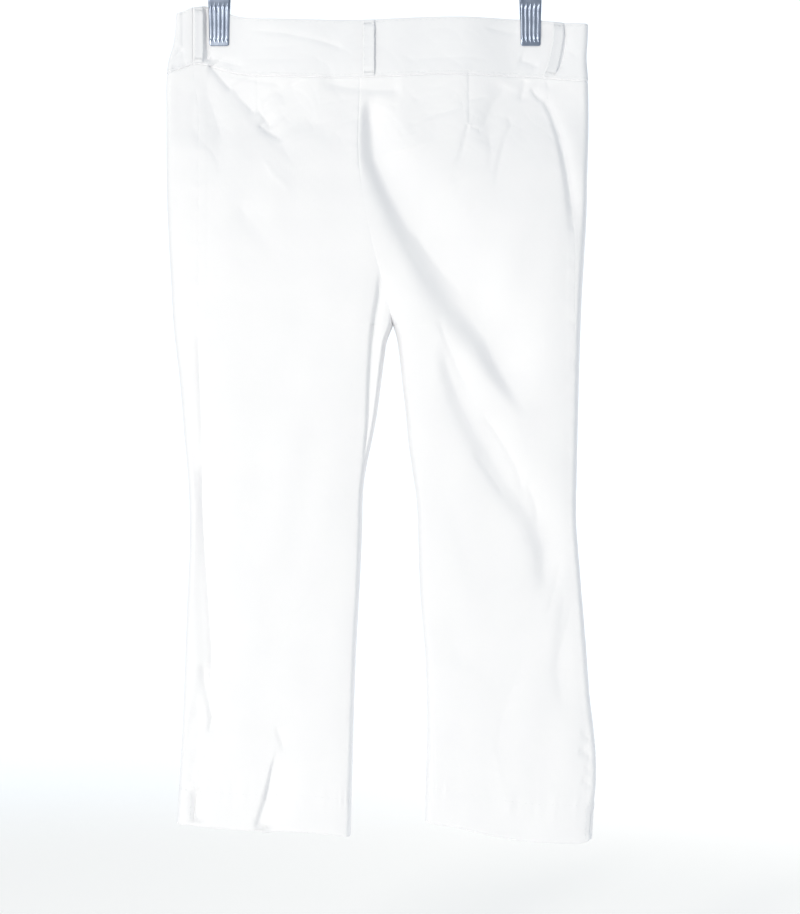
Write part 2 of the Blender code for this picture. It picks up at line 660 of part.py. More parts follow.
def tube_profile(length, outside):
    """Section of a short tube that the bar passes through."""
    half, inside = length / 2, BAR_RADIUS + SEAM_GAP
    return [(-half, inside), (half, inside), (half, outside), (-half, outside)]


def hook_path():
    """Places across X and up Z: the stem, its swing to one side, and the bend to the tip."""
    radius = HOOK_BEND + HOOK_WIRE
    start, end = radians(HOOK_ANGLES[0]), radians(HOOK_ANGLES[1])
    foot = np.array((0, -BAR_DROP + BAR_RADIUS + HOOK_WIRE))
    top = np.array((0, -HOOK_STEM_TOP))
    arc = [np.array((radius * cos(angle), radius * sin(angle) - HOOK_BEND))
           for angle in np.linspace(start, end, 20)]
    leave = np.array((0, 1)) * HOOK_SWING
    arrive = np.array((-sin(start), cos(start))) * HOOK_SWING
    swing = [(2 * t**3 - 3 * t**2 + 1) * top + (t**3 - 2 * t**2 + t) * leave
             + (3 * t**2 - 2 * t**3) * arc[0] + (t**3 - t**2) * arrive
             for t in np.linspace(0, 1, 7)[1:-1]]
    return [foot, top] + swing + arc


def hook(finish):
    """Wire hook, welded to a collar that the bar passes through."""
    curve = bpy.data.curves.new("hook_wire", "CURVE")
    curve.dimensions = "3D"
    curve.bevel_depth = HOOK_WIRE
    curve.bevel_resolution = 2
    curve.use_fill_caps = True
    path = hook_path()
    spline = curve.splines.new("POLY")
    spline.points.add(len(path) - 1)
    for point, (across, up) in zip(spline.points, path):
        point.co = (across, 0, up, 1)
    wire = bpy.data.objects.new("hook_wire", curve)
    COLLECTION.objects.link(wire)
    wire = applied_copy(wire, "hook_wire", finish)
    collar = turned("collar", tube_profile(COLLAR_LENGTH, SLEEVE_RADIUS), 16, finish)
    collar.location = (0, 0, -BAR_DROP)
    join = collar.modifiers.new("join", "BOOLEAN")
    join.operation = "UNION"
    join.solver = "EXACT"
    join.object = wire
    joined = applied_copy(collar, "hanger_hook", finish)
    bpy.data.objects.remove(wire, do_unlink=True)
    soften(joined.data)


def bar(finish):
    """Straight bar with a bead on each end."""
    right = [(BAR_HALF_LENGTH, 0)]
    for angle in np.linspace(radians(30), radians(145), 5):
        right.append((BAR_HALF_LENGTH - BAR_END_RADIUS * (1 - cos(angle)),
                      BAR_END_RADIUS * sin(angle)))
    left = [(-along, radius) for along, radius in reversed(right)]
    made = turned("hanger_bar", right + left, 16, finish, closed=False)
    made.location = (0, 0, -BAR_DROP)


def jaw(name, clip, side, finish):
    """One pressed steel jaw: a finger tab, a bend round the spring, and a fluted grip."""
    grip = PINCHED + BAND_PROUD + SEAM_GAP
    spring = SLEEVE_RADIUS + SEAM_GAP
    drop = np.array([row[0] for row in JAW_PATH]) * MM
    inside = np.array([spring + row[1] * MM if row[2] else grip + row[1] * MM
                       for row in JAW_PATH])
    spread = np.linspace(-0.5, 0.5, 2 * FLUTES + 1)
    down = (drop - drop[0]) / (drop[-1] - drop[0])
    width = JAW_WIDTH_TOP + (JAW_WIDTH_TIP - JAW_WIDTH_TOP) * down
    ridge = FLUTE_DEPTH * 0.5 * (1 - np.cos(2 * pi * FLUTES * (spread + 0.5)))
    fluted = soft_step((drop - FLUTES_FROM) / FLUTE_EASE)
    across = clip + width[:, None] * spread[None, :]
    z = np.repeat(-drop[:, None], len(spread), axis=1)
    near = np.repeat(inside[:, None], len(spread), axis=1)
    far = near + JAW_STEEL + fluted[:, None] * ridge[None, :]
    return wall(name, np.stack((across, side * far, z), axis=-1),
                np.stack((across, side * near, z), axis=-1), finish)


def clips(plate, coil):
    for name, clip in zip(("left", "right"), CLIP_ACROSS):
        jaw(f"clip_{name}_back_jaw", clip, BACK, plate)
        jaw(f"clip_{name}_front_jaw", clip, FRONT, plate)
        sleeve = turned(f"clip_{name}_spring", tube_profile(SLEEVE_LENGTH, SLEEVE_RADIUS), 16, coil)
        sleeve.location = (clip, 0, -BAR_DROP)


def button(finish):
    """Flat button with a raised rim, standing on the lapped end of the waistband."""
    across = MIDDLE["front"][1] * MM - OVERLAP / 2 + BUTTON_IN
    turn = np.array([band_turn(across, FRONT, 0)])
    centre, normal = band_surface(turn, np.array([0.5]))
    radius = BUTTON_DIAMETER / 2
    profile = [(up * MM, share * radius) for up, share in BUTTON_SECTION]
    made = turned("waist_button", profile, 20, finish, closed=False)
    made.location = centre[0, 0]
    made.rotation_mode = "QUATERNION"
    made.rotation_quaternion = Vector((1, 0, 0)).rotation_difference(Vector(normal[0, 0]))


for old in list(bpy.data.objects):
    bpy.data.objects.remove(old, do_unlink=True)
COLLECTION = bpy.data.collections.new("cropped_trousers_on_hanger")
bpy.context.scene.collection.children.link(COLLECTION)

cotton = make_finish("white stretch cotton", (0.90, 0.91, 0.92), 0.85)
steel = make_finish("blue grey steel", (0.20, 0.24, 0.28), 0.35, 1.0)
spring_steel = make_finish("spring steel", (0.35, 0.37, 0.40), 0.4, 1.0)
resin = make_finish("white resin button", (0.88, 0.88, 0.86), 0.35)

LEGS = (Leg("left", -1, LEFT_SIDE, LEFT_INSIDE, LEFT_HEM),
        Leg("right", 1, RIGHT_SIDE, RIGHT_INSIDE, RIGHT_HEM))
for each in LEGS:
    panel(each, f"back_{each.name}", True, cotton)
    panel(each, f"front_{each.name}", False, cotton)
waistband(*LEGS, cotton)
for loop_name, (loop_side, loop_across) in LOOPS.items():
    belt_loop(loop_name, loop_side, loop_across, cotton)
button(resin)
bar(steel)
hook(steel)
clips(steel, spring_steel)
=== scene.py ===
# %% [markdown]
# # Cropped cotton trousers on a clip hanger
#
# The rigid solids of this part already say where every sewn piece lies. This lesson lays real
# cloth, thread and steel over them. Each step first says what the piece is on a real pair of
# trousers, then makes it as a surface worked out with numpy, so that you can change one
# number and see what it does.
#
# The first cell loads the solids as a fixed frame. Everything is in metres, Z is up, and the
# hook bears on its rail at the origin. The back of the trousers faces -Y. A height is kept as
# a drop below the hook, so a drop d lies at z = -d.

import bpy
import bmesh
import numpy as np
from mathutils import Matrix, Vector


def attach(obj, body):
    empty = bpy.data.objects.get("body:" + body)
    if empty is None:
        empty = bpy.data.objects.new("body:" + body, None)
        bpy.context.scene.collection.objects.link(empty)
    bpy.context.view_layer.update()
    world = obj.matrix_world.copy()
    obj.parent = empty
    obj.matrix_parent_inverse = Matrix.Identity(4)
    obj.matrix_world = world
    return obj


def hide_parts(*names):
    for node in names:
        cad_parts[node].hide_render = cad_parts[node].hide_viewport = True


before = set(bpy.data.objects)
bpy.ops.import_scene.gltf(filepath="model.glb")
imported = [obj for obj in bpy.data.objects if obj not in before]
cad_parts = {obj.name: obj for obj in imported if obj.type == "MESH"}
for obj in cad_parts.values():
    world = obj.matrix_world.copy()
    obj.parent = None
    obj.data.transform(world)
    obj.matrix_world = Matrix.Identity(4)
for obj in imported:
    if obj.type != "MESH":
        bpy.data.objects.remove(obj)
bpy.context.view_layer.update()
MM = 0.001
BACK, FRONT = -1, 1

# %% [markdown]
# ## Camera
#
# The trousers were photographed square from behind and from some way off, so the two edges of
# the cloth look almost parallel. A long lens at 2.6 m gives the same calm perspective. The
# picture is taller than wide, and Blender then counts the sensor width along the height.

# %% Camera
CAMERA_PLACE = (0.025, -2.6, -0.545)
SEEN_HEIGHT = 0.914
SENSOR = 36.0

camera_data = bpy.data.cameras.new("camera")
camera_data.sensor_width = SENSOR
camera_data.lens = SENSOR * -CAMERA_PLACE[1] / SEEN_HEIGHT
camera = bpy.data.objects.new("camera", camera_data)
camera.location = CAMERA_PLACE
camera.rotation_euler = (np.pi / 2, 0, 0)
bpy.context.scene.collection.objects.link(camera)
bpy.context.scene.camera = camera
print(f"lens {camera_data.lens:.1f} mm")

# %% [markdown]
# ## Colours and nodes
#
# A colour picked on a screen is in sRGB, and Blender mixes light in linear values, so one
# function turns a hex value to linear. One more function adds a shader node with its
# settings and links. Every material below is built with these two.

# %% Colour and node helpers
def linear(hex_value):
    """sRGB hex to linear RGBA: low values are divided by 12.92, the rest follow the 2.4 curve."""
    channels = np.array([int(hex_value[i:i + 2], 16) / 255 for i in (1, 3, 5)])
    low, high = channels / 12.92, ((channels + 0.055) / 1.055) ** 2.4
    return (*np.where(channels <= 0.04045, low, high).tolist(), 1.0)


def add_node(tree, kind, settings=(), values=(), links=()):
    """Add one node. Values are input sockets set to a number, links are (input, output socket)."""
    node = tree.nodes.new(kind)
    for name, value in dict(settings).items():
        setattr(node, name, value)
    for name, value in dict(values).items():
        node.inputs[name].default_value = value
    for name, source in dict(links).items():
        tree.links.new(source, node.inputs[name])
    return node


def new_finish(name, **shader_values):
    """A material with its shader's constant sockets set straight on the shader."""
    made = bpy.data.materials.new(name)
    made.use_nodes = True
    shader = made.node_tree.nodes["Principled BSDF"]
    for socket, value in shader_values.items():
        shader.inputs[socket.replace("_", " ")].default_value = value
    return made, made.node_tree, shader


print("white is", linear("#FFFFFF"))

# %% [markdown]
# ## Light, floor and air
#
# The photograph is bright and nearly without shadows: white cloth on white. Slopes that face
# right are the darkest in it, so the main light stands left of the camera and a little above
# it. The rest is soft light from all round, slightly stronger from above. Two dim lights
# behind the sides draw the edges, and one more lights the front. The floor is plain and pale,
# and it thins out into the white air before it reaches the horizon, so no line runs behind
# the legs.

# %% Light
AIR_LEVEL, AIR_FROM_ABOVE = 0.50, 0.66  # strength from the horizon and from high up
HIGH_UP = 0.8  # how far a direction points up where the air reaches that strength
SEEN_AIR = 1.30  # strength that the camera sees itself
LIT_MIDDLE = Vector((0.0, 0.0, -0.5))
LAMPS = (  # name, place, size, power, colour
    ("key", (-1.25, -2.7, 0.05), 0.7, 39, "#FFF9F0"),
    ("rim_right", (2.5, 1.3, -0.5), 1.2, 12, "#F8FAFF"),
    ("rim_left", (-2.5, 1.3, -0.5), 1.2, 8, "#F8FAFF"),
    ("rear", (1.2, 2.6, 0.1), 0.8, 18, "#FFF9F0"),
)

world = bpy.data.worlds.new("studio_air")
world.use_nodes = True
bpy.context.scene.world = world
bpy.context.scene.view_settings.view_transform = "Standard"
air = world.node_tree
background = air.nodes["Background"]
direction = add_node(air, "ShaderNodeTexCoord")
height = add_node(air, "ShaderNodeSeparateXYZ", links={"Vector": direction.outputs["Generated"]})
soft = add_node(air, "ShaderNodeMapRange", values={"From Min": 0.0, "From Max": HIGH_UP,
                                                   "To Min": AIR_LEVEL, "To Max": AIR_FROM_ABOVE},
                links={"Value": height.outputs["Z"]})
seen = add_node(air, "ShaderNodeLightPath")
level = add_node(air, "ShaderNodeMapRange", values={"To Max": SEEN_AIR},
                 links={"Value": seen.outputs["Is Camera Ray"], "To Min": soft.outputs["Result"]})
air.links.new(level.outputs["Result"], background.inputs["Strength"])
background.inputs["Color"].default_value = linear("#EDF5FC")

for name, place, size, power, colour in LAMPS:
    lamp_data = bpy.data.lights.new(name, "AREA")
    lamp_data.size, lamp_data.energy, lamp_data.color = size, power, linear(colour)[:3]
    lamp = bpy.data.objects.new(name, lamp_data)
    lamp.location = place
    lamp.rotation_euler = (LIT_MIDDLE - Vector(place)).to_track_quat("-Z", "Y").to_euler()
    bpy.context.scene.collection.objects.link(lamp)

# %% Floor
FLOOR_HEIGHT, FLOOR_SIZE = -1.10, 4.0
FLOOR_FADE = (1.0, 3.2)
floor_finish, tree, shader = new_finish("pale studio floor", Roughness=0.9, Emission_Strength=0.165)
shader.inputs["Base Color"].default_value = linear("#F8F6F3")
shader.inputs["Emission Color"].default_value = linear("#FFFFFF")
where = add_node(tree, "ShaderNodeTexCoord")
flat_place = add_node(tree, "ShaderNodeVectorMath", {"operation": "MULTIPLY"},
                      {1: (1, 1, 0)}, {0: where.outputs["Object"]})
reach = add_node(tree, "ShaderNodeVectorMath", {"operation": "LENGTH"},
                 links={0: flat_place.outputs["Vector"]})
fade = add_node(tree, "ShaderNodeMapRange", {"interpolation_type": "SMOOTHSTEP"},
                {"From Min": FLOOR_FADE[0], "From Max": FLOOR_FADE[1], "To Min": 1, "To Max": 0},
                {"Value": reach.outputs["Value"]})
tree.links.new(fade.outputs["Result"], shader.inputs["Alpha"])
corners = np.array(((-1, -1), (1, -1), (1, 1), (-1, 1))) * FLOOR_SIZE
floor_mesh = bpy.data.meshes.new("floor")
floor_mesh.from_pydata([(x, y, FLOOR_HEIGHT) for x, y in corners], [], [(0, 1, 2, 3)])
floor_mesh.materials.append(floor_finish)
floor = bpy.data.objects.new("floor", floor_mesh)
bpy.context.scene.collection.objects.link(floor)

# %% [markdown]
# ## Cotton
#
# The cloth is stretch cotton sateen: a fine warp-faced weave, brushed and bleached, that
# scatters light softly with hardly any shine. Its threads are about 0.3 mm apart, too fine
# for this picture, so the weave is only a faint slanting line, every 10 mm. Slubs, which are
# thicker bits of yarn, and the rumple of cloth that lay folded are drawn at their real size.
# Patterns read the piece's own UV map, which is in metres along the cloth, so they follow the
# cut as printed cloth would.

# %% Pattern helpers
def noise(tree, place, scale, **values):
    """Cloudy noise with about this many clouds to the metre."""
    return add_node(tree, "ShaderNodeTexNoise", values={"Scale": scale, **values},
                    links={"Vector": place})


def streaks(tree, place, scale):
    """Noise with a scale of its own along each axis, which draws it out."""
    drawn = add_node(tree, "ShaderNodeMapping", values={"Scale": scale}, links={"Vector": place})
    return noise(tree, drawn.outputs["Vector"], 1.0, Detail=2.0)


def slanting_bands(tree, place, run, **values):
    """Slanting bands that repeat after a run along any axis. The node draws the sine of ten
    times the sum of the coordinates, so a scale of 1 repeats after 2 pi / 10."""
    return add_node(tree, "ShaderNodeTexWave", {"bands_direction": "DIAGONAL"},
                    {"Scale": 2 * np.pi / 10 / run, **values}, {"Vector": place})


def relief(tree, pattern, strength, depth, under=None):
    """Bump from a pattern, laid over the bump that is under it."""
    links = {"Height": pattern.outputs["Fac"]}
    if under is not None:
        links["Normal"] = under
    values = {"Strength": strength, "Distance": depth}
    return add_node(tree, "ShaderNodeBump", values=values, links=links).outputs["Normal"]


def two_tones(tree, shader, pattern, first, second):
    """A base colour that a pattern mixes from two."""
    tone = add_node(tree, "ShaderNodeMix", {"data_type": "RGBA"},
                    links={"Factor": pattern.outputs["Fac"]})
    tone.inputs[6].default_value, tone.inputs[7].default_value = linear(first), linear(second)
    tree.links.new(tone.outputs[2], shader.inputs["Base Color"])


# %% Cotton and thread materials
WEAVE_RUN, SLUB_WIDTH, SLUB_LENGTH = 13.823 * MM, 0.9 * MM, 14 * MM
FOLDED_RUMPLE, COTTON_CLOUD, THREAD_RUN = 16 * MM, 70 * MM, 6.2832 * MM


def cotton_finish(name, colour, shade, rumple):
    """Woven cotton: weave, slub and rumple add up to one bump, and a faint cloudy tone."""
    made, tree, shader = new_finish(name, Roughness=0.88, IOR=1.5, Sheen_Weight=0.12,
                                    Sheen_Roughness=0.5, Specular_IOR_Level=0.25)
    cloth = add_node(tree, "ShaderNodeTexCoord").outputs["UV"]
    twill = slanting_bands(tree, cloth, WEAVE_RUN, Distortion=0.6, Detail=1.0)
    slub = streaks(tree, cloth, (1 / SLUB_WIDTH, 1 / SLUB_LENGTH, 1))
    folded = noise(tree, cloth, 1 / FOLDED_RUMPLE, Detail=3.0, Roughness=0.45)
    fine = relief(tree, twill, 0.22, 0.10 * MM)
    middle = relief(tree, slub, 0.35, 0.12 * MM, fine)
    coarse = relief(tree, folded, rumple, 0.9 * MM, middle)
    tree.links.new(coarse, shader.inputs["Normal"])
    two_tones(tree, shader, noise(tree, cloth, 1 / COTTON_CLOUD, Detail=2.0), shade, colour)
    return made


def thread_finish():
    """Core-spun sewing thread: slanting bands change height from stitch to stitch, and paint shade where
    they sink.
    """
    made, tree, shader = new_finish("white sewing thread", Roughness=0.6, Specular_IOR_Level=0.35,
                                    Sheen_Weight=0.1)
    place = add_node(tree, "ShaderNodeTexCoord").outputs["Object"]
    twist_and_shade = slanting_bands(tree, place, THREAD_RUN)
    tree.links.new(relief(tree, twist_and_shade, 0.4, 0.05 * MM), shader.inputs["Normal"])
    # painted shade: the thread's tone is darker where the twist bands sink
    two_tones(tree, shader, twist_and_shade, "#EEF0F2", "#FBFBFC")
    return made


COTTON = cotton_finish("white stretch cotton sateen", "#FAFAFB", "#F6F6F8", 0.16)
BAND_COTTON = cotton_finish("white cotton sateen over interfacing", "#F8F8FA", "#F3F4F6", 0.10)
THREAD = thread_finish()
print("cloth finishes:", COTTON.name, "and", BAND_COTTON.name)

# %% [markdown]
# ## Steel
#
# Hanger clips are pressed from sheet steel and plated with nickel, which looks blue-grey. The
# tool leaves fine lines along the strip, and the plating rubs bright on raised ribs. Spring
# wire is drawn through a die, so its lines run along the wire. A metal keeps its default IOR:
# its base colour does the work.

# %% Steel and resin materials
STEEL_CLOUD, RESIN_CLOUD = 9 * MM, 5 * MM
SMOOTHER, ROUGHER = 0.06, 0.08  # how far the roughness goes to either side of its middle
DRAWN_LINE, DRAWN_DEPTH = 0.25, 0.04 * MM


def plated_steel(name, dark, light, roughness, grain):
    """Plated steel: cloudy tone and gloss from noise, and lines drawn along the grain."""
    made, tree, shader = new_finish(name, Metallic=1.0)
    place = add_node(tree, "ShaderNodeTexCoord").outputs["Object"]
    cloud = noise(tree, place, 1 / STEEL_CLOUD, Detail=4.0)
    two_tones(tree, shader, cloud, dark, light)
    gloss = add_node(tree, "ShaderNodeMapRange",
                     values={"To Min": roughness - SMOOTHER, "To Max": roughness + ROUGHER},
                     links={"Value": cloud.outputs["Fac"]})
    tree.links.new(gloss.outputs["Result"], shader.inputs["Roughness"])
    lines = relief(tree, streaks(tree, place, grain), DRAWN_LINE, DRAWN_DEPTH)
    tree.links.new(lines, shader.inputs["Normal"])
    return made


def resin_finish():
    """Cast polyester button: milky white with a little light let in, and pearly streaks."""
    made, tree, shader = new_finish("cast polyester resin", Roughness=0.28, IOR=1.54,
                                    Subsurface_Weight=0.2, Subsurface_Scale=0.002)
    place = add_node(tree, "ShaderNodeTexCoord").outputs["Object"]
    pearly = noise(tree, place, 1 / RESIN_CLOUD, Distortion=1.4)
    two_tones(tree, shader, pearly, "#EAE9E5", "#FAF9F6")
    return made


ACROSS, ALONG = 1 / (0.5 * MM), 1 / (12 * MM)  # how often a drawn line's tone changes
UP_AND_DOWN, LEFT_TO_RIGHT = (ACROSS, ACROSS, ALONG), (ALONG, ACROSS, ACROSS)
CLIP_STEEL = plated_steel("nickel plated pressed steel", "#7F8A9E", "#AEB8C8", 0.30, UP_AND_DOWN)
BAR_STEEL = plated_steel("nickel plated drawn bar", "#6B747D", "#88929B", 0.24, LEFT_TO_RIGHT)
HOOK_STEEL = plated_steel("nickel plated drawn wire", "#6B747D", "#88929B", 0.24, UP_AND_DOWN)
SPRING_STEEL = plated_steel("bare spring wire", "#7A7F85", "#A0A5AA", 0.28, LEFT_TO_RIGHT)
RESIN = resin_finish()
print("hard finishes:", CLIP_STEEL.name, BAR_STEEL.name, SPRING_STEEL.name, RESIN.name)

# %% [markdown]
# ## From grids to pieces
#
# Every surface below is a grid of points: rows one way, columns the other. A sheet joins its
# neighbours with four-sided faces. A wall joins an outer grid and an inner grid and closes
# the rim between them, which suits a folded strip or pressed metal. A tube carries a circle
# along a path. All three are computed as whole arrays.

# %% Grid helpers
def soft_step(t):
    """0 below 0, 1 above 1, and the smooth curve 3t^2 - 2t^3 between."""
    t = np.clip(t, 0, 1)
    return t * t * (3 - 2 * t)


def unit(vectors):
    """Vectors at length 1."""
    return vectors / np.maximum(np.linalg.norm(vectors, axis=-1, keepdims=True), 1e-12)


def cells(index):
    """Four corners of every cell of a grid of vertex numbers."""
    return np.stack((index[:-1, :-1], index[:-1, 1:], index[1:, 1:], index[1:, :-1]), -1).reshape(-1, 4)


def numbered(points):
    """Vertex numbers of a grid of points."""
    return np.arange(points[..., 0].size).reshape(points.shape[:2])


def round_cells(points):
    """Cells of a grid of points whose last column joins the first."""
    return cells(np.pad(numbered(points), ((0, 0), (0, 1)), mode="wrap"))


print("a grid of 3 by 3 points has", len(cells(np.arange(9).reshape(3, 3))), "cells")


# %% Pieces from grids
def add_piece(name, points, faces, finish, stands_for=(), uv=None, merge=0.0, sharp_from=50):
    """Put points and faces in a mesh at the origin, smooth it, and let it ride on the body."""
    mesh = bpy.data.meshes.new(name)
    points = np.asarray(points, float).reshape(-1, 3)
    mesh.from_pydata(points.tolist(), [], faces if isinstance(faces, list) else faces.tolist())
    if uv is not None:
        layer = mesh.uv_layers.new(name="cloth")
        corner = np.zeros(len(mesh.loops), np.int32)
        mesh.loops.foreach_get("vertex_index", corner)
        layer.data.foreach_set("uv", np.asarray(uv, float).reshape(-1, 2)[corner].ravel())
    if merge:
        closed = bmesh.new()
        closed.from_mesh(mesh)
        bmesh.ops.remove_doubles(closed, verts=closed.verts, dist=merge)
        closed.to_mesh(mesh)
        closed.free()
    mesh.shade_smooth()
    if sharp_from:
        mesh.set_sharp_from_angle(angle=np.radians(sharp_from))
    mesh.materials.append(finish)
    piece = bpy.data.objects.new(name, mesh)
    bpy.context.scene.collection.objects.link(piece)
    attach(piece, "root")
    if stands_for:
        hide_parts(*stands_for)
    return piece


def wall_faces(rows, columns):
    """Faces of an outer grid, an inner grid turned over, and the rim between their edges."""
    outer = np.arange(rows * columns).reshape(rows, columns)
    inner = outer + rows * columns
    edge = np.concatenate((outer[0, :-1], outer[:-1, -1], outer[-1, :0:-1], outer[:0:-1, 0]))
    following = np.roll(edge, -1)
    rim = np.stack((following, edge, edge + rows * columns, following + rows * columns), -1)
    return np.concatenate((cells(outer), cells(inner)[:, ::-1], rim))


def add_wall(name, outer, inner, finish, stands_for, uv=None, turned=False, merge=0.0):
    """A piece between an outer and an inner grid, which share one UV map."""
    faces = wall_faces(*outer.shape[:2])
    points = np.concatenate((outer.reshape(-1, 3), inner.reshape(-1, 3)))
    uv = None if uv is None else np.concatenate((uv.reshape(-1, 2), uv.reshape(-1, 2)))
    return add_piece(name, points, faces[:, ::-1] if turned else faces, finish, stands_for, uv, merge)


print("a wall of 2 by 2 points has", len(wall_faces(2, 2)), "faces")


# %% Lengths, edges and tubes
def cloth_length(points, axis):
    """Length along a grid, summed from point to point."""
    steps = np.linalg.norm(np.diff(points, axis=axis), axis=-1)
    total = np.cumsum(steps, axis=axis)
    pad = [(0, 0), (0, 0)]
    pad[axis] = (1, 0)
    return np.pad(total, pad)


def lengths_along(path):
    """Length of a line of points from its start to each of them."""
    return np.concatenate(([0], np.cumsum(np.linalg.norm(np.diff(path, axis=0), axis=1))))


def read_at(at, lengths, values):
    """Values that belong to the points of a line, read at other lengths along it."""
    return np.stack([np.interp(at, lengths, column) for column in values.T], -1)


def worn_down(distance, drop, reach):
    """How far an edge is worn down: the whole drop at the edge itself, none beyond its reach."""
    return drop * (1 - np.sqrt(np.clip(distance / reach, 0, 1)))


def rounded_run(length, radius, step, turns=5):
    """Places along a tube and its radius there, with a quarter circle at each end."""
    angle = np.linspace(0, np.pi / 2, turns + 1)
    cap, girth = radius * (1 - np.cos(angle)), radius * np.sin(angle)
    count = max(int((length - 2 * radius) / step), 1)
    inside = np.linspace(radius, length - radius, count + 1)[1:-1]
    along = np.concatenate((cap, inside, length - cap[::-1]))
    return along, np.concatenate((girth, np.full(len(inside), radius), girth[::-1]))


def tube(path, guide, radius, step, sides=16):
    """A circle carried along a path, square to it. The guide is a direction that is never
    along the path, one for each point, and the circle starts towards it."""
    lengths = lengths_along(path)
    along, girth = rounded_run(lengths[-1], radius, step)
    centre, guide = read_at(along, lengths, path), read_at(along, lengths, guide)
    ahead = unit(read_at(along, lengths, np.gradient(path, lengths, axis=0)))
    first = unit(guide - ahead * np.sum(guide * ahead, -1, keepdims=True))
    second = np.cross(ahead, first)
    angle = np.linspace(0, 2 * np.pi, sides, endpoint=False)[None, :, None]
    points = (centre[:, None] + girth[:, None, None]
              * (np.cos(angle) * first[:, None] + np.sin(angle) * second[:, None]))
    return points.reshape(-1, 3), round_cells(points)


print("half a slope:", soft_step(0.5), "- an edge worn down at its start:", worn_down(0, MM, MM))

# %% [markdown]
# ## Where the cloth runs
#
# The trousers are one flattened tube that parts into two legs at the crotch. For each drop,
# these tables say where the tube starts and ends across X, how far it stands out in front
# and behind, and where its seams lie. They were measured on the photograph in millimetres,
# and they are the same numbers as the solids have, so cloth and solids agree.

# %% Tables of the form
LEFT_SIDE = {
    "drop":      (98, 133, 151, 170, 198, 238, 288, 334, 378, 414, 468, 528, 568,
                  624, 700, 758, 819, 874, 912),
    "outer":     (-198, -201.5, -206.5, -208.5, -208.5, -208.3, -207.5, -205.5, -203,
                  -201, -195, -190, -186.5, -185, -188, -190, -192.5, -195.5, -198),
    "side_seam": (-184, -183.5, -182, -180, -176, -175, -174, -174, -174,
                  -174, -173.8, -173.6, -173, -170, -166, -164, -167, -178, -182),
}
RIGHT_SIDE = {
    "drop":      (98, 133, 143, 170, 193, 219, 261, 311, 345, 378, 414, 491, 568,
                  604, 662, 735, 788, 819, 861, 891, 926),
    "outer":     (213.5, 212, 211.3, 213, 213.5, 213.5, 212.3, 211, 209, 207, 205.5,
                  203.3, 201.5, 201, 205, 211, 215, 218.7, 221, 219, 217),
    "side_seam": (180, 176, 175, 172, 173, 182, 190, 196, 197.8, 198, 198, 199.5,
                  199.3, 199, 203, 209, 213, 216.7, 219, 216.5, 214),
}
LEFT_INSIDE = {
    "drop":  (414, 431, 443, 466, 489, 509, 532, 554, 568, 624, 681, 742, 819, 922),
    "inner": (17.85, 11.7, 10, 7, 4, 1, -3.6, -8.2, -10.5, -12.8, -15.5, -18.8, -21.5, -24),
}
RIGHT_INSIDE = {
    "drop":  (414, 423, 443, 470, 498, 528, 558, 588, 624, 681, 742, 796, 907),
    "inner": (18.15, 21, 24, 27, 30.3, 33, 37, 41.5, 43, 45, 50, 52, 50),
}
MIDDLE = {
    "drop":  (98, 170, 258, 300, 340, 380, 414),
    "back":  (-15, -15, -15, -9, -1, 10, 18),
    "front": (2, 3, 6, 9, 12, 15.5, 18),
}
BODY = {
    "drop":  (98, 150, 170, 198, 238, 288, 334, 378, 414, 468, 528, 624, 758, 874, 925),
    "back":  (11, 13, 14, 18, 27, 36, 40, 40, 38, 34, 31, 27, 23, 21, 21),
    "front": (11, 13, 13.5, 16, 21, 26, 29, 31, 31, 30, 29, 26, 23, 21, 21),
    "round": (20, 21, 21, 21, 22, 24, 25, 25, 25, 24, 23, 22, 22, 21, 20),
}
WAIST_SEAM = {
    "across": (-208, -199, -192, -183, -169, -160, -150, -135, -117, -96, -13, 25,
               55, 137, 170, 191, 213),
    "drop":   (162, 159, 157, 153, 152.5, 155, 158, 162, 164, 165, 166.3, 164.8,
               163.5, 164.5, 166, 168.3, 169.7),
}
LEFT_HEM = {"across": (-198, -182, -167, -123, -64, -24), "drop": (909, 910, 911.5, 915, 917, 922)}
RIGHT_HEM = {"across": (50, 65, 80, 109, 160, 185, 209, 217),
             "drop":   (907, 909.5, 911.5, 918, 926.5, 927.5, 927, 924)}
CROTCH_DROP, CROTCH_CURVE, INNER_ROUND = 414 * MM, 62 * MM, 18 * MM
EDGE_SHARP, CROWN_SHARE, CROWN_REACH = 0.28, 0.30, 3.0
CLIMB_SPREAD, CLIMB_LIMIT = 0.45, 6
HEM_BASE, WAIST_BASE, WAIST_EASE, HEM_EASE = 915 * MM, 166 * MM, 90 * MM, 130 * MM
FRONT_DIP, FOLD_EDGE, INSEAM_IN, INSEAM_EASE = 10 * MM, 7 * MM, 2.5 * MM, 60 * MM


def cubic(t, start, leave, end, arrive):
    """Curve from a start to an end, for t from 0 to 1, with a given slope at each."""
    return ((2 * t**3 - 3 * t**2 + 1) * start + (t**3 - 2 * t**2 + t) * leave
            + (3 * t**2 - 2 * t**3) * end + (t**3 - t**2) * arrive)


def smooth_through(table, column, at, key="drop"):
    """Read a column between its rows with a cubic that takes its slope from its neighbours."""
    knots = np.array(table[key], float) * MM
    values = np.array(table[column], float) * MM
    slopes = np.gradient(values, knots)
    at = np.clip(at, knots[0], knots[-1])
    low = np.clip(np.searchsorted(knots, at) - 1, 0, len(knots) - 2)
    step = knots[low + 1] - knots[low]
    return cubic((at - knots[low]) / step, values[low], step * slopes[low],
                 values[low + 1], step * slopes[low + 1])


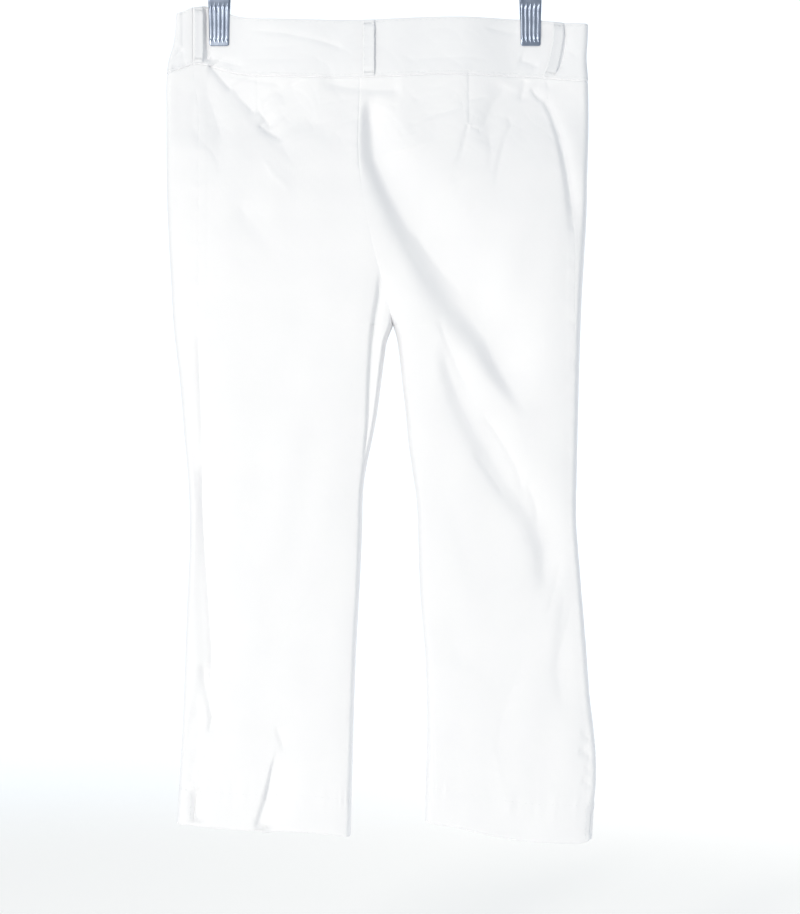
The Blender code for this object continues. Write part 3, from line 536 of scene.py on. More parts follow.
def waist_seam(across, side):
    """Drop of the seam under the waistband; the front dips between its two ends."""
    behind = smooth_through(WAIST_SEAM, "drop", across, key="across")
    ends = np.array((WAIST_SEAM["across"][0], WAIST_SEAM["across"][-1])) * MM
    heights = np.array((WAIST_SEAM["drop"][0], WAIST_SEAM["drop"][-1])) * MM
    share = np.clip((across - ends[0]) / (ends[1] - ends[0]), 0, 1)
    before = heights[0] + share * (heights[1] - heights[0]) + FRONT_DIP * np.sin(np.pi * share)
    return np.where(side == BACK, behind, before)


print("waist seam at the middle back:", float(waist_seam(-0.015, BACK)))

# %% [markdown]
# ## Folds and creases
#
# Hanging cloth folds where it is pulled: from the clips into the seat, from the crotch out
# along the thigh, and at the knee that once was bent. Simulated cloth would fold, but not in
# these places. So each fold is placed as a trough along a few listed points, with its own
# depth, its own width on each side and its own fade at each end. The large folds are in the
# solids too. The finer creases are only here, in sizes read from the photograph, and the
# front, which nobody sees in it, gets some of the same kind.

# %% Folds
# Sizes are in millimetres. Left and right are those of a line that runs down, and a row of
# widths is spread along the line.
FOLDS = (  # side, depth, width to the left, to the right, fade in, fade out, (across, drop) points
    (BACK, 15, (4, 8, 10, 13, 17, 18, 14, 9, 6), (12, 20, 32, 42, 48, 46, 40, 30, 22), 30, 70,
     ((-6, 184), (-3, 218), (0, 248), (13, 278), (29, 308), (49, 338), (68, 368), (88, 398), (111, 428),
      (125, 458), (142, 488), (155, 508))),
    (BACK, 6.4, (6, 12, 13, 8), (16, 22, 22, 14), 40, 50,
     ((66, 425), (73, 455), (84, 485), (99, 515), (117, 545), (135, 575), (159, 605), (169, 636),
      (170, 668), (162, 690))),
    (BACK, 5.5, 1.6, 8, 25, 40, ((6, 360), (3, 389), (-0.5, 408), (-3.5, 435), (-5, 458), (-6, 481),
                                 (-7, 512), (-9.5, 542), (-13, 570))),
    (BACK, 2.5, 7, 14, 8, 45, ((-152, 158), (-142, 176), (-132, 191), (-119, 206), (-100, 226),
                               (-80, 253))),
    (BACK, 2.5, 8, 10, 10, 50, ((-167, 160), (-166, 183), (-159, 208), (-153, 228), (-150, 273))),
    (BACK, 5.0, (2, 3.4, 4.5, 5), (5, 8, 9, 9), 6, 60,
     ((156, 178), (163, 187), (170, 192), (177, 208), (183, 228), (188.5, 253), (192.5, 278),
      (195, 303), (197, 340))),
    (BACK, 6.6, (1.4, 1.7, 2.0, 2.3, 2.6), 22, 45, 4,
     ((-96, 832), (-101.5, 853), (-105.5, 872), (-110, 890), (-117.5, 914))),
    (BACK, 0.7, 8, 14, 25, 40, ((75, 589), (87, 628), (104, 690))),
    (BACK, 0.6, 8, 12, 20, 30, ((71, 719), (87, 746), (132, 770))),
    (BACK, 1.5, 6, 12, 25, 30, ((190, 672), (186, 712), (182, 758), (190, 800))),
    (BACK, 1.2, 9, 13, 20, 25, ((-140, 290), (-118, 318), (-92, 352))),
    (BACK, 3.2, 20, 16, 8, 20, ((-88, 170), (-80, 190), (-76, 210), (-70, 232))),
    (BACK, 1.4, 7, 12, 10, 10, ((-56, 170), (-30, 176), (-2, 178), (28, 179))),
    (BACK, 1.0, 8, 12, 12, 16, ((-60, 206), (-50, 222), (-40, 240))),
    (BACK, 3.6, 11, 14, 10, 25, ((130, 170), (120, 195), (114, 215), (113, 246))),
    (BACK, 2.2, 5, 7, 60, 30, ((-181, 500), (-172, 588), (-173, 678), (-169, 758), (-183, 818),
                               (-189, 852))),
    (BACK, 5.0, 5.5, 6, 4, 3, ((-177, 874), (-176.5, 890), (-176, 908))),
    (FRONT, 5, 9, 15, 15, 60, ((12, 392), (-22, 358), (-72, 328), (-126, 306))),
    (FRONT, 5, 15, 9, 15, 60, ((24, 396), (62, 366), (108, 338), (158, 322))),
    (FRONT, 3.5, 9, 14, 30, 45, ((-160, 540), (-104, 578), (-62, 640))),
    (FRONT, 3.5, 12, 9, 30, 45, ((168, 566), (116, 602), (84, 668))),
    (FRONT, 3.5, 8, 12, 8, 50, ((-146, 172), (-126, 206), (-92, 252))),
    (FRONT, 3.5, 12, 8, 8, 50, ((148, 174), (126, 214), (98, 262))),
    (FRONT, 4, 7, 11, 2, 40, ((126, 922), (114, 884), (108, 838))),
)
print(len(FOLDS), "folds")

# %% Creases
CREASES = (  # the same columns
    # Darts of the back, sewn wedges that end in a soft point with short pulls below it
    (BACK, 0.7, 1.0, 4.3, 1, 10, ((-117.5, 163), (-117.5, 208))),
    (BACK, 0.9, 0.9, 8, 1, 6, ((93.5, 161), (93.5, 217))),
    (BACK, 1.5, 1.8, 8.7, 3, 24, ((93, 214), (89, 228), (87, 238), (84, 248), (76, 262))),
    (BACK, 1.1, 1.6, 5.8, 3, 6, ((94, 216), (102, 219), (107, 225))),
    # Left seat, drawn to the clip
    (BACK, 5.0, 3.6, 22, 3, 10, ((-142, 176), (-135, 187), (-125, 197), (-117, 206))),
    (BACK, 3.8, 3.2, 18, 4, 8, ((-118, 198), (-110, 208), (-101, 220))),
    (BACK, 3.6, 2.6, 16, 5, 10, ((-117, 213), (-107, 222), (-98, 227), (-90, 233))),
    (BACK, 0.7, 3, 11.6, 6, 20, ((-93, 232), (-87, 246), (-77, 260))),
    (BACK, 0.9, 4, 10.2, 6, 12, ((-103, 175), (-92, 186), (-86, 200))),
    (BACK, 0.8, 4, 10.2, 6, 14, ((-97, 197), (-87, 210), (-83, 222))),
    (BACK, 0.8, 4, 11.6, 6, 14, ((-71, 204), (-62, 216), (-56, 230))),
    (BACK, 0.5, 3, 8.7, 6, 12, ((-42, 220), (-34, 230), (-28, 240))),
    (BACK, 0.5, 1.5, 4.3, 3, 4, ((-118, 186), (-107, 189))),
    (BACK, 0.5, 1.5, 4.3, 3, 4, ((-114, 193), (-106, 196))),
    (BACK, -0.9, 5, 7.2, 14, 20, ((-113, 246), (-100, 266), (-78, 286))),
    (BACK, 0.9, 2.5, 10.2, 8, 16, ((-169, 166), (-166, 188), (-160, 203), (-155, 218), (-151, 234))),
    (BACK, 0.8, 3, 11.6, 12, 26,
     ((-180, 178), (-182, 216), (-174, 229), (-162, 241), (-155, 254), (-153, 276))),
    (BACK, 0.5, 4, 8.7, 8, 20, ((-194, 170), (-195, 198), (-193, 230))),
    (BACK, 0.5, 3, 8.7, 6, 8, ((-135, 296), (-124, 311))),
    (BACK, 0.4, 3, 8.7, 6, 8, ((-121, 299), (-106, 311))),
    # Seat on either side of the middle
    (BACK, 1.8, 5, 10.2, 14, 10, ((-50, 172), (-28, 177), (-4, 180), (28, 180))),
    (BACK, 0.6, 3, 8.7, 10, 8, ((-8, 188), (10, 193), (24, 199))),
    (BACK, 0.6, 1.6, 5.8, 5, 8, ((38, 192), (55, 181), (68, 174), (84, 168.5))),
    (BACK, 1.5, 3, 8.7, 12, 14, ((30, 222), (50, 209), (65, 204), (80, 200), (94, 190), (117, 185))),
    (BACK, 0.5, 2, 5.8, 4, 6, ((24, 227), (33, 222), (46, 221))),
    (BACK, 0.4, 2, 4.3, 4, 6, ((20, 192), (21, 209))),
    (BACK, 0.5, 2, 7.2, 6, 8, ((99, 203), (104, 200), (113, 206))),
    # Right seat, drawn to the other clip
    (BACK, 1.3, 4, 13, 4, 14, ((130, 172), (125, 183), (116, 196), (110, 210), (107, 222))),
    (BACK, 1.4, 2.6, 10.2, 5, 30, ((132, 204), (135, 216), (129, 229), (125, 244), (121, 262), (118, 284))),
    (BACK, 1.0, 3, 8.7, 8, 22, ((113, 222), (115, 246), (112, 268))),
    (BACK, 0.5, 4, 11.6, 10, 14, ((105, 290), (98, 300), (86, 312))),
    (BACK, 0.5, 4, 11.6, 8, 14, ((77, 262), (84, 276), (80, 292))),
    # Crotch and inside of the right thigh
    (BACK, 0.4, 3, 7.2, 10, 25, ((20.5, 384), (19.5, 402), (20.5, 424))),
    (BACK, 0.8, 4, 11.6, 10, 20, ((26, 436), (31, 462), (39, 492))),
    (BACK, 0.5, 5, 13, 14, 22, ((-14, 372), (-34, 398), (-58, 415))),
    # Streaks inside the two long folds
    (BACK, 1.5, 2.8, 8.7, 14, 24, ((36, 318), (54, 346), (74, 372), (92, 396))),
    (BACK, 0.8, 2.2, 8.7, 14, 24, ((22, 322), (40, 352), (58, 380))),
    (BACK, 1.5, 2.8, 8.7, 20, 30, ((60, 400), (70, 430), (86, 466), (100, 490))),
    (BACK, 1.5, 2.8, 8.7, 14, 24, ((104, 500), (122, 524), (140, 556), (150, 588))),
    (BACK, 1.4, 2.8, 8.7, 14, 20, ((96, 536), (112, 560), (132, 590))),
    (BACK, 1.4, 2.8, 7.2, 10, 16, ((150, 568), (158, 590), (163, 616))),
    # Knees and calves
    (BACK, 1.8, 2.4, 8, 40, 20, ((-176, 400), (-174, 450), (-172, 500), (-171, 550))),
    (BACK, 5.4, (3.0, 3.4, 4.2, 5.5, 6.0, 4.0), 10, 18, 14,
     ((-171, 545), (-171, 590), (-169, 640), (-165, 690), (-162, 738), (-163, 770))),
    (BACK, 4.0, 3.2, 8, 6, 12, ((-172, 750), (-167, 780), (-162, 804), (-165, 822))),
    (BACK, 3.2, 5, 8, 10, 12, ((-174, 788), (-175, 820), (-176, 850))),
    (BACK, 1.6, 9, 8, 10, 10, ((-178, 828), (-180, 850), (-182, 868))),
    (BACK, 0.4, 4, 11.6, 18, 24, ((-150, 590), (-118, 604), (-84, 598))),
    (BACK, 0.4, 4, 11.6, 18, 24, ((-52, 668), (-78, 702), (-98, 748))),
    (BACK, 0.4, 4, 10.2, 14, 20, ((150, 742), (126, 800), (118, 846))),
    (BACK, -0.5, 4, 8.7, 6, 26, ((134.5, 900), (126, 866), (114, 816))),
    (BACK, 0.7, 3, 10.2, 16, 24, ((186, 640), (178, 676), (168, 712))),
    (BACK, 0.6, 3, 10.2, 16, 24, ((196, 690), (186, 728), (176, 760))),
    # Hems and the ends of the side seams
    (BACK, 1.6, 1.6, 8.7, 8, 12, ((-99, 811), (-94, 825), (-89, 840))),
    (BACK, 0.9, 1.6, 4.3, 3, 4, ((-176, 836), (-169, 841))),
    (BACK, 1.1, 1.6, 4.3, 3, 5, ((-183, 846), (-172, 851))),
    (BACK, 0.8, 1.6, 4.3, 3, 4, ((-175, 858), (-168, 862))),
    (BACK, 1.0, 1.6, 4.3, 3, 5, ((-186, 862), (-176, 869))),
    (BACK, 0.9, 1.6, 4.3, 3, 4, ((-177, 873), (-170, 877))),
    (BACK, 3.4, 3.4, 4, 5, 4, ((214.5, 888), (215, 904), (213, 921))),
    (BACK, 1.6, 2, 5.8, 3, 3, ((204, 818), (215, 827))),
    (BACK, 2.0, 2, 7.2, 3, 3, ((202, 835), (216, 845))),
    (BACK, 1.4, 2, 5.8, 3, 3, ((207, 853), (218, 860))),
    (BACK, 1.6, 2, 5.8, 3, 3, ((205, 866), (218, 875))),
    # Front, as cloth of this weight creases: below the waistband, at the groin, behind the knee
    (FRONT, 1.2, 4, 7, 8, 26, ((-62, 184), (-70, 212), (-84, 246))),
    (FRONT, 1.1, 7, 4, 8, 26, ((74, 186), (84, 216), (92, 240))),
    (FRONT, 1.6, 5, 8, 12, 40, ((4, 404), (-30, 384), (-70, 372), (-104, 378))),
    (FRONT, 1.5, 8, 5, 12, 40, ((34, 408), (68, 392), (112, 384))),
    (FRONT, 1.0, 5, 7, 16, 30, ((-178, 420), (-140, 446), (-96, 458))),
    (FRONT, 0.9, 6, 5, 16, 30, ((180, 438), (146, 470), (104, 480))),
    (FRONT, 1.1, 5, 8, 14, 26, ((-172, 604), (-132, 618), (-92, 606))),
    (FRONT, 1.0, 6, 8, 14, 22, ((60, 628), (98, 640), (140, 624))),
    (FRONT, 0.9, 5, 7, 14, 26, ((-44, 706), (-72, 742), (-88, 790))),
    (FRONT, 0.8, 5, 7, 14, 26, ((176, 716), (150, 758), (138, 806))),
    (FRONT, 1.3, 4, 7, 6, 22, ((-148, 908), (-140, 876), (-126, 840))),
    (FRONT, 1.0, 4, 7, 6, 18, ((78, 900), (84, 872), (98, 846))),
    (FRONT, 0.9, 3, 6, 6, 16, ((-128, 176), (-118, 196), (-112, 214))),
    (FRONT, 0.8, 3, 6, 6, 16, ((118, 178), (108, 200), (104, 218))),
)
HELD_CREASES = (  # the same columns; these start at a jaw, so its grip doesn't flatten them
    (BACK, 4.2, 3.6, 14, 2, 8, ((-165, 153), (-156, 165), (-147, 175), (-141, 181))),
    (BACK, 0.9, 1.6, 7.2, 4, 10, ((-160, 160), (-140, 165), (-117, 170.5), (-100, 173), (-90, 178))),
    (BACK, 3.6, (10, 9, 7, 4), 4, 3, 14, ((-166, 146), (-152, 148), (-140, 152), (-129, 157))),
    (FRONT, -3.6, 10, 8, 4, 18, ((-168, 148), (-152, 158), (-138, 170), (-126, 184))),
    (BACK, 6.4, 4.4, 3.6, 2, 6, ((-169.4, 95), (-169.0, 134), (-167, 152))),
    (FRONT, -6.2, 4.6, 4.6, 2, 8, ((-169.4, 95), (-169.0, 134), (-167, 152))),
    (BACK, 1.9, 3.6, 6, 3, 8, ((150, 167), (148, 178), (144, 192))),
    (BACK, 1.2, 1.8, 7.2, 3, 6, ((155, 176), (160, 184), (167, 189))),
    (BACK, 0.9, 1.6, 5.8, 2, 6, ((170, 168), (173, 175), (176, 181))),
    # Waistband, rumpled between the clips
    (BACK, 0.6, 1.0, 4, 2, 4, ((-192.5, 98), (-192, 148))),
    (BACK, 1.5, 2.5, 2.9, 30, 8, ((-132, 118), (-90, 123), (-70, 127), (-50, 132), (-30, 139))),
    (BACK, 0.5, 3, 7.2, 14, 20, ((-134, 147), (-100, 149), (-60, 150))),
    (BACK, 0.4, 3, 7.2, 14, 16, ((-120, 135), (-96, 137), (-70, 134))),
    (BACK, 0.6, 3, 8.7, 12, 18, ((25, 151), (55, 148), (95, 147), (122, 150))),
    (BACK, 1.0, 2.0, 4.3, 14, 3, ((104, 115), (122, 119), (135, 122), (144, 121))),
    (BACK, 1.8, 4, 7.2, 4, 6, ((143, 148), (156, 152), (164, 157))),
    (BACK, 0.7, 2, 4.3, 3, 5, ((165, 126), (171, 120), (180, 118.5))),
    (BACK, 3.6, 2.0, 3.8, 4, 12, ((188, 98), (189.5, 116), (190, 134), (187, 150), (180, 164))),
    (BACK, 0.7, 1.6, 4.3, 4, 5, ((192, 137), (197, 143), (203, 145.5))),
    (BACK, 2.0, 2.6, 6, 3, 5, ((-206, 151), (-198, 144), (-191, 136))),
    (BACK, 1.8, 3.0, 5, 2, 3, ((-203, 158), (-195, 153), (-187, 150))),
    (FRONT, 0.5, 3, 5, 12, 16, ((-120, 126), (-84, 131), (-52, 128))),
    (FRONT, 0.6, 3, 4, 10, 12, ((48, 124), (72, 129), (98, 126))),
)
print(len(CREASES) + len(HELD_CREASES), "creases")

# %% Depth of the troughs
CRISP, CREASE_FALL = 0.7 * MM, 0.75
SEEN_WIDTHS = 4  # a trough is left out further away than this many of its widths


def width_along(width, along, whole):
    """A width of a trough in metres, where it may change along the line."""
    row = np.atleast_1d(width)
    return np.interp(along, np.linspace(0, whole, len(row)), row) * MM


def sink_of(across, drop, side, troughs, crisp):
    """Sum of these troughs. One trough is its depth, times a bell curve exp(-(distance / width)^2)
    of the distance to its line of points, times a soft step at each end of that line. A crease
    takes exp(-distance / width) instead, rounded only over its innermost part, so it is crisp."""
    sink = np.zeros(across.shape)
    for where, depth, left, right, fade_in, fade_out, points in troughs:
        points = np.array(points, float) * MM
        reach = SEEN_WIDTHS * max(np.max(left), np.max(right)) * MM
        (low_x, low_d), (high_x, high_d) = points.min(0) - reach, points.max(0) + reach
        near = ((side == where) & (across > low_x) & (across < high_x)
                & (drop > low_d) & (drop < high_d))
        x, d = across[near], drop[near]
        steps = np.diff(points, axis=0)
        lengths = np.hypot(steps[:, 0], steps[:, 1])
        starts = np.concatenate(([0], np.cumsum(lengths)))
        nearest, signed, along = np.full(x.shape, np.inf), np.zeros(x.shape), np.zeros(x.shape)
        for (x0, d0), (dx, dd), length, start in zip(points, steps, lengths, starts):
            t = np.clip(((x - x0) * dx + (d - d0) * dd) / length**2, 0, 1)
            off_x, off_d = x - x0 - t * dx, d - d0 - t * dd
            distance = np.hypot(off_x, off_d)
            closer = distance < nearest
            nearest = np.where(closer, distance, nearest)
            signed = np.where(closer, np.sign(dd * off_x - dx * off_d), signed)
            along = np.where(closer, start + t * length, along)
        whole = starts[-1]
        width = np.where(signed < 0, width_along(left, along, whole), width_along(right, along, whole))
        fade = soft_step(along / (fade_in * MM)) * soft_step((whole - along) / (fade_out * MM))
        shape = (np.exp(-(np.hypot(nearest, CRISP) - CRISP) / (CREASE_FALL * width)) if crisp
                 else np.exp(-(nearest / width) ** 2))
        sink[near] += depth * MM * fade * shape
    return sink


on_line = [np.array([value]) for value in (29 * MM, 308 * MM, BACK)]
print("depth of the long fold:", sink_of(*on_line, FOLDS, False))

# %% Ripples and rumples
RIPPLES = np.random.default_rng(20)
WAVES, RIPPLE_HEIGHT = 16, 0.13 * MM
RIPPLE_TURN = RIPPLES.uniform(0, np.pi, WAVES)
RIPPLE_LENGTH = RIPPLES.uniform(34, 120, WAVES) * MM
RIPPLE_START = RIPPLES.uniform(0, 2 * np.pi, (2, WAVES))
RUMPLE_SETS, RUMPLE_HEIGHT, RUMPLE_SHARP = 14, 0.26 * MM, 0.22
RUMPLE_TURN = RIPPLES.uniform(-0.9, 0.9, RUMPLE_SETS)
RUMPLE_PITCH = RIPPLES.uniform(20, 46, RUMPLE_SETS) * MM
RUMPLE_START = RIPPLES.uniform(0, 2 * np.pi, (4, RUMPLE_SETS))
RUMPLED_TO, RUMPLE_FADE, RUMPLE_BELOW = 205 * MM, 75 * MM, 0.14


def ripple(across, drop, side):
    """Faint unevenness of hanging cloth: sixteen sine waves, each with its own direction,
    length and start, added together."""
    total = np.zeros(across.shape)
    for k, (turn, length) in enumerate(zip(RIPPLE_TURN, RIPPLE_LENGTH)):
        start = np.where(side == BACK, RIPPLE_START[0, k], RIPPLE_START[1, k])
        total += np.sin(2 * np.pi * (across * np.cos(turn) + drop * np.sin(turn)) / length + start)
    return RIPPLE_HEIGHT * total


def rumple(across, drop, side):
    """The many small pulls below a waistband. One set is a row of narrow valleys where a wavy
    phase crosses a whole turn, exp(-|sin(phase)| / sharpness), let through in patches only. All
    sets are added, and they fade out below the hip."""
    total = np.zeros(across.shape)
    for k, (turn, pitch) in enumerate(zip(RUMPLE_TURN, RUMPLE_PITCH)):
        one, two, three, four = RUMPLE_START[:, k]
        other = 2.0 * (side == FRONT)
        along = (across * np.cos(turn) - drop * np.sin(turn)) / pitch
        beside = (across * np.sin(turn) + drop * np.cos(turn)) / pitch
        wavy = 0.9 * np.sin(1.7 * along + one) + 0.5 * np.sin(3.1 * along + two + other)
        patch = np.sin(1.3 * along + three + other) * np.sin(1.1 * beside + four)
        valley = np.exp(-np.abs(np.sin(np.pi * beside + wavy)) / RUMPLE_SHARP)
        total += valley * soft_step((patch - 0.1) / 0.6)
    share = RUMPLE_BELOW + (1 - RUMPLE_BELOW) * (1 - soft_step((drop - RUMPLED_TO) / RUMPLE_FADE))
    return RUMPLE_HEIGHT * total * share


print("ripple and rumple there:", ripple(*on_line), rumple(*on_line))

# %% [markdown]
# ## The clips' grip and the stand of the cloth
#
# Seen in section, the cloth leaves its outer edge as a quarter ellipse and then rises in a
# long soft crown. Two clips squeeze front and back together, and below them the cloth opens
# out over about a hand's breadth.

# %% Grip and stand of the cloth
CLIP_ACROSS = (-155.6 * MM, 155.5 * MM)
JAW_TIP_DROP = 134.5 * MM
PINCHED, PINCH_FLAT, PINCH_RAMP, PINCH_FADE = 1.95 * MM, 12.2 * MM, (58 * MM, 80 * MM), 120 * MM
PINCH_NARROWED = 0.9  # share of the flat width that is gone where the grip ends


def edge_rise(distance, radius):
    """Share of the full rise: a quarter ellipse, then a crown that reaches further. The ellipse is
    narrower than the solids have it, because pressed cloth turns more sharply at its edges."""
    near = np.clip(distance / (EDGE_SHARP * radius), 0, 1)
    far = np.clip(distance / (CROWN_REACH * radius), 0, 1)
    return (1 - CROWN_SHARE) * np.sqrt(near * (2 - near)) + CROWN_SHARE * np.sqrt(far * (2 - far))


def pinch(across, drop):
    """1 between the jaws, 0 away from them, with a ramp that widens further down."""
    below = np.clip((drop - JAW_TIP_DROP) / PINCH_FADE, 0, 1)
    flat = PINCH_FLAT * (1 - PINCH_NARROWED * below)
    ramp = PINCH_RAMP[0] + (PINCH_RAMP[1] - PINCH_RAMP[0]) * below
    total = sum(1 - soft_step((np.abs(across - clip) - flat) / ramp) for clip in CLIP_ACROSS)
    return np.clip(total * (1 - soft_step(below)), 0, 1)


def stand_off(across, drop, side, to_outer, to_inner):
    """Y of the cloth: reach times edge rise, less the folds, and held down by the clips."""
    reach = np.where(side == BACK, smooth_through(BODY, "back", drop),
                     smooth_through(BODY, "front", drop))
    outer_round = smooth_through(BODY, "round", drop)
    full = reach * edge_rise(to_outer, outer_round) * edge_rise(to_inner, INNER_ROUND)
    squeezed = pinch(across, drop)
    held = np.minimum(full, PINCHED)
    near_edge = soft_step(np.minimum(to_outer, to_inner) / FOLD_EDGE)
    free = (sink_of(across, drop, side, FOLDS, False) + sink_of(across, drop, side, CREASES, True)
            + ripple(across, drop, side) + rumple(across, drop, side))
    sink = (free * (1 - squeezed) + sink_of(across, drop, side, HELD_CREASES, True)) * near_edge
    return side * (held + (full - held) * (1 - squeezed) - sink)


print("grip below the left clip:", pinch(CLIP_ACROSS[0], JAW_TIP_DROP + 40 * MM))


# %% Legs
class Leg:
    """One leg with its half of the seat, as a ring for each drop. A ring is read by a turn: 0
    at its outer edge, 1 at its inner edge and 2 at the outer edge again. The back lies
    between 0 and 1, the front between 1 and 2, and 2 to 3 is the back again."""

    def __init__(self, name, sign, side_table, inside_table, hem_table):
        self.name, self.sign = name, sign
        self.side_table, self.inside_table, self.hem_table = side_table, inside_table, hem_table

    def past_middle(self, drop):
        """How far the ring reaches past the middle seam, which cuts it above the crotch."""
        climb = np.clip((CROTCH_DROP - drop) / CROTCH_CURVE, 0, CLIMB_LIMIT)
        return INNER_ROUND * climb * (1 + CLIMB_SPREAD * climb)

    def inner_edge(self, drop, side):
        """Inner end of the ring: past the middle seam above the crotch, the leg's own below."""
        seam = np.where(side == BACK, smooth_through(MIDDLE, "back", drop),
                        smooth_through(MIDDLE, "front", drop))
        above = seam - self.sign * self.past_middle(drop)
        return np.where(drop < CROTCH_DROP, above, smooth_through(self.inside_table, "inner", drop))

    def across(self, turn, drop):
        """X from the turn: outer edge plus the width times (1 - cos(pi turn)) / 2."""
        side = np.where(np.mod(turn, 2) < 1, BACK, FRONT)
        outer = smooth_through(self.side_table, "outer", drop)
        inner = self.inner_edge(drop, side)
        return outer + (inner - outer) * (1 - np.cos(np.pi * turn)) / 2, outer, inner, side

    def drop_at(self, turn, base):
        """Drop of a row, which follows the waist seam and the hem near them."""
        at_waist = 1 - soft_step((base - WAIST_BASE) / WAIST_EASE)
        at_hem = 1 - soft_step((HEM_BASE - base) / HEM_EASE)
        drop = base
        for _ in range(4):
            across, _, _, side = self.across(turn, drop)
            hem = smooth_through(self.hem_table, "drop", across, key="across")
            drop = (base + (waist_seam(across, side) - WAIST_BASE) * at_waist
                    + (hem - HEM_BASE) * at_hem)
        return drop

    def point(self, turn, base):
        """Place of the cloth at a turn and a row."""
        drop = self.drop_at(turn, base)
        across, outer, inner, side = self.across(turn, drop)
        y = stand_off(across, drop, side, np.abs(across - outer), np.abs(inner - across))
        return np.stack((across, y, -drop), axis=-1)

    def turn_at(self, across, drop, side):
        """Turn of a place that is given across X, the other way round from across()."""
        outer = smooth_through(self.side_table, "outer", drop)
        share = np.abs(across - outer) / np.abs(self.inner_edge(drop, side) - outer)
        turn = np.arccos(np.clip(1 - 2 * share, -1, 1)) / np.pi
        return np.where(side == BACK, turn, 2 - turn)

    def inner_turn(self, drop, side):
        """Turn where a panel ends: at the middle seam, and below the crotch at the inseam."""
        outer = smooth_through(self.side_table, "outer", drop)
        width = np.abs(self.inner_edge(drop, side) - outer)
        inseam = np.clip((drop - CROTCH_DROP) / INSEAM_EASE, 0, 1) * INSEAM_IN
        distance = np.where(drop < CROTCH_DROP, self.past_middle(drop), inseam)
        turn = np.arccos(np.clip(2 * distance / width - 1, -1, 1)) / np.pi
        return turn if side == BACK else np.where(drop < CROTCH_DROP, 2 - turn, turn)

    def settled(self, turn_of, base):
        """Turn of a seam on each row, once the row's own drop is known there."""
        drop = base
        for _ in range(8):
            turn = turn_of(drop)
            drop = self.drop_at(turn, base)
        return turn


LEFT = Leg("left", -1, LEFT_SIDE, LEFT_INSIDE, LEFT_HEM)
RIGHT = Leg("right", 1, RIGHT_SIDE, RIGHT_INSIDE, RIGHT_HEM)
print("left knee, back:", LEFT.point(np.array([0.5]), np.array([0.6])))

# %% [markdown]
# ## Seams, puckers and hems
#
# A pressed seam reads as a fine groove. Beside it the turned-in edge of the cloth, about
# 10 mm wide, lifts the surface a little, and the tight thread draws small uneven puckers that
# die away within a finger's breadth. The hem is turned up 35 mm inside and sewn along its
# upper edge, and each side seam stays open over the turn-up as a small vent.

# %% Relief beside the seams
SEAM_GAP = 0.02 * MM
SEAM_DEPTH, SEAM_WIDTH = {"side": 0.10 * MM, "middle": 0.60 * MM}, 0.9 * MM
MIDDLE_SEEN_TO, MIDDLE_EASE, MIDDLE_LOST = 245 * MM, 40 * MM, 0.9
ALLOWANCE, ALLOWANCE_RISE, ALLOWANCE_EASE = 10 * MM, 0.15 * MM, 3 * MM
PUCKER_HEIGHT, PUCKER_REACH = 0.22 * MM, 7 * MM
HEM_TURN_UP, VENT_HEIGHT, VENT_GAP, VENT_EASE = 35 * MM, 35 * MM, 4 * MM, 6 * MM
HEM_GROOVE, HEM_GROOVE_WIDTH = 0.35 * MM, 1.4 * MM
BAND_RECESS, BAND_RECESS_WIDTH, RECESS_BELOW = 1.5 * MM, 0.8 * MM, 0.4 * MM
UNDERLAP, UNDERLAP_SINK, UNDERLAP_EASE = 4 * MM, 1.4 * MM, 9 * MM
HAIR = 2e-4  # the small step, in turns or metres, that slopes are worked out with


def bell(distance, width):
    """exp(-(distance / width)^2): 1 at no distance, and soon 0 beyond the width."""
    return np.exp(-(distance / width) ** 2)


def uneven(along, start):
    """Uneven waves along a seam: three sines whose lengths have no common measure."""
    return (np.sin(along / (1.9 * MM) + start) * 0.5 + np.sin(along / (3.1 * MM) + 2.3 * start)
            + np.sin(along / (5.3 * MM) + 0.7 * start) * 0.8)


def puckers(distance, along, start):
    """The height of puckers, which dies away from their seam."""
    return PUCKER_HEIGHT * np.exp(-distance / PUCKER_REACH) * uneven(along, start)


def vent_open(base):
    """0 above the vent of a side seam, 1 beside it."""
    return soft_step((base - (HEM_BASE - VENT_HEIGHT)) / VENT_EASE)


def panel_edges(leg, is_back, base):
    """First and last turn of a panel on each row, drawn back at its vent."""
    side = leg.settled(lambda drop: leg.turn_at(smooth_through(leg.side_table, "side_seam", drop),
                                                drop, BACK), base)
    middle = leg.settled(lambda drop: leg.inner_turn(drop, BACK if is_back else FRONT), base)
    side = side if is_back else side + 2
    inward = 1 if is_back else -1
    vent = vent_open(base) * (VENT_GAP if is_back else -UNDERLAP)
    side = side + inward * (0.5 * SEAM_GAP + 0.5 * vent) / turn_length(leg, side, base)
    clear = 0.5 * SEAM_GAP / turn_length(leg, middle, base)
    at_edge = np.minimum(middle, 1 - clear) if is_back else np.maximum(middle, 1 + clear)
    middle = np.where(base < CROTCH_DROP - 0.01 * MM, at_edge, middle - inward * clear)
    return (side, middle) if is_back else (middle, side)


def turn_length(leg, turn, base):
    """Metres of cloth that one whole turn would cover there."""
    step = leg.point(turn + HAIR, base) - leg.point(turn - HAIR, base)
    return np.maximum(np.linalg.norm(step, axis=-1) / (2 * HAIR), 0.01)


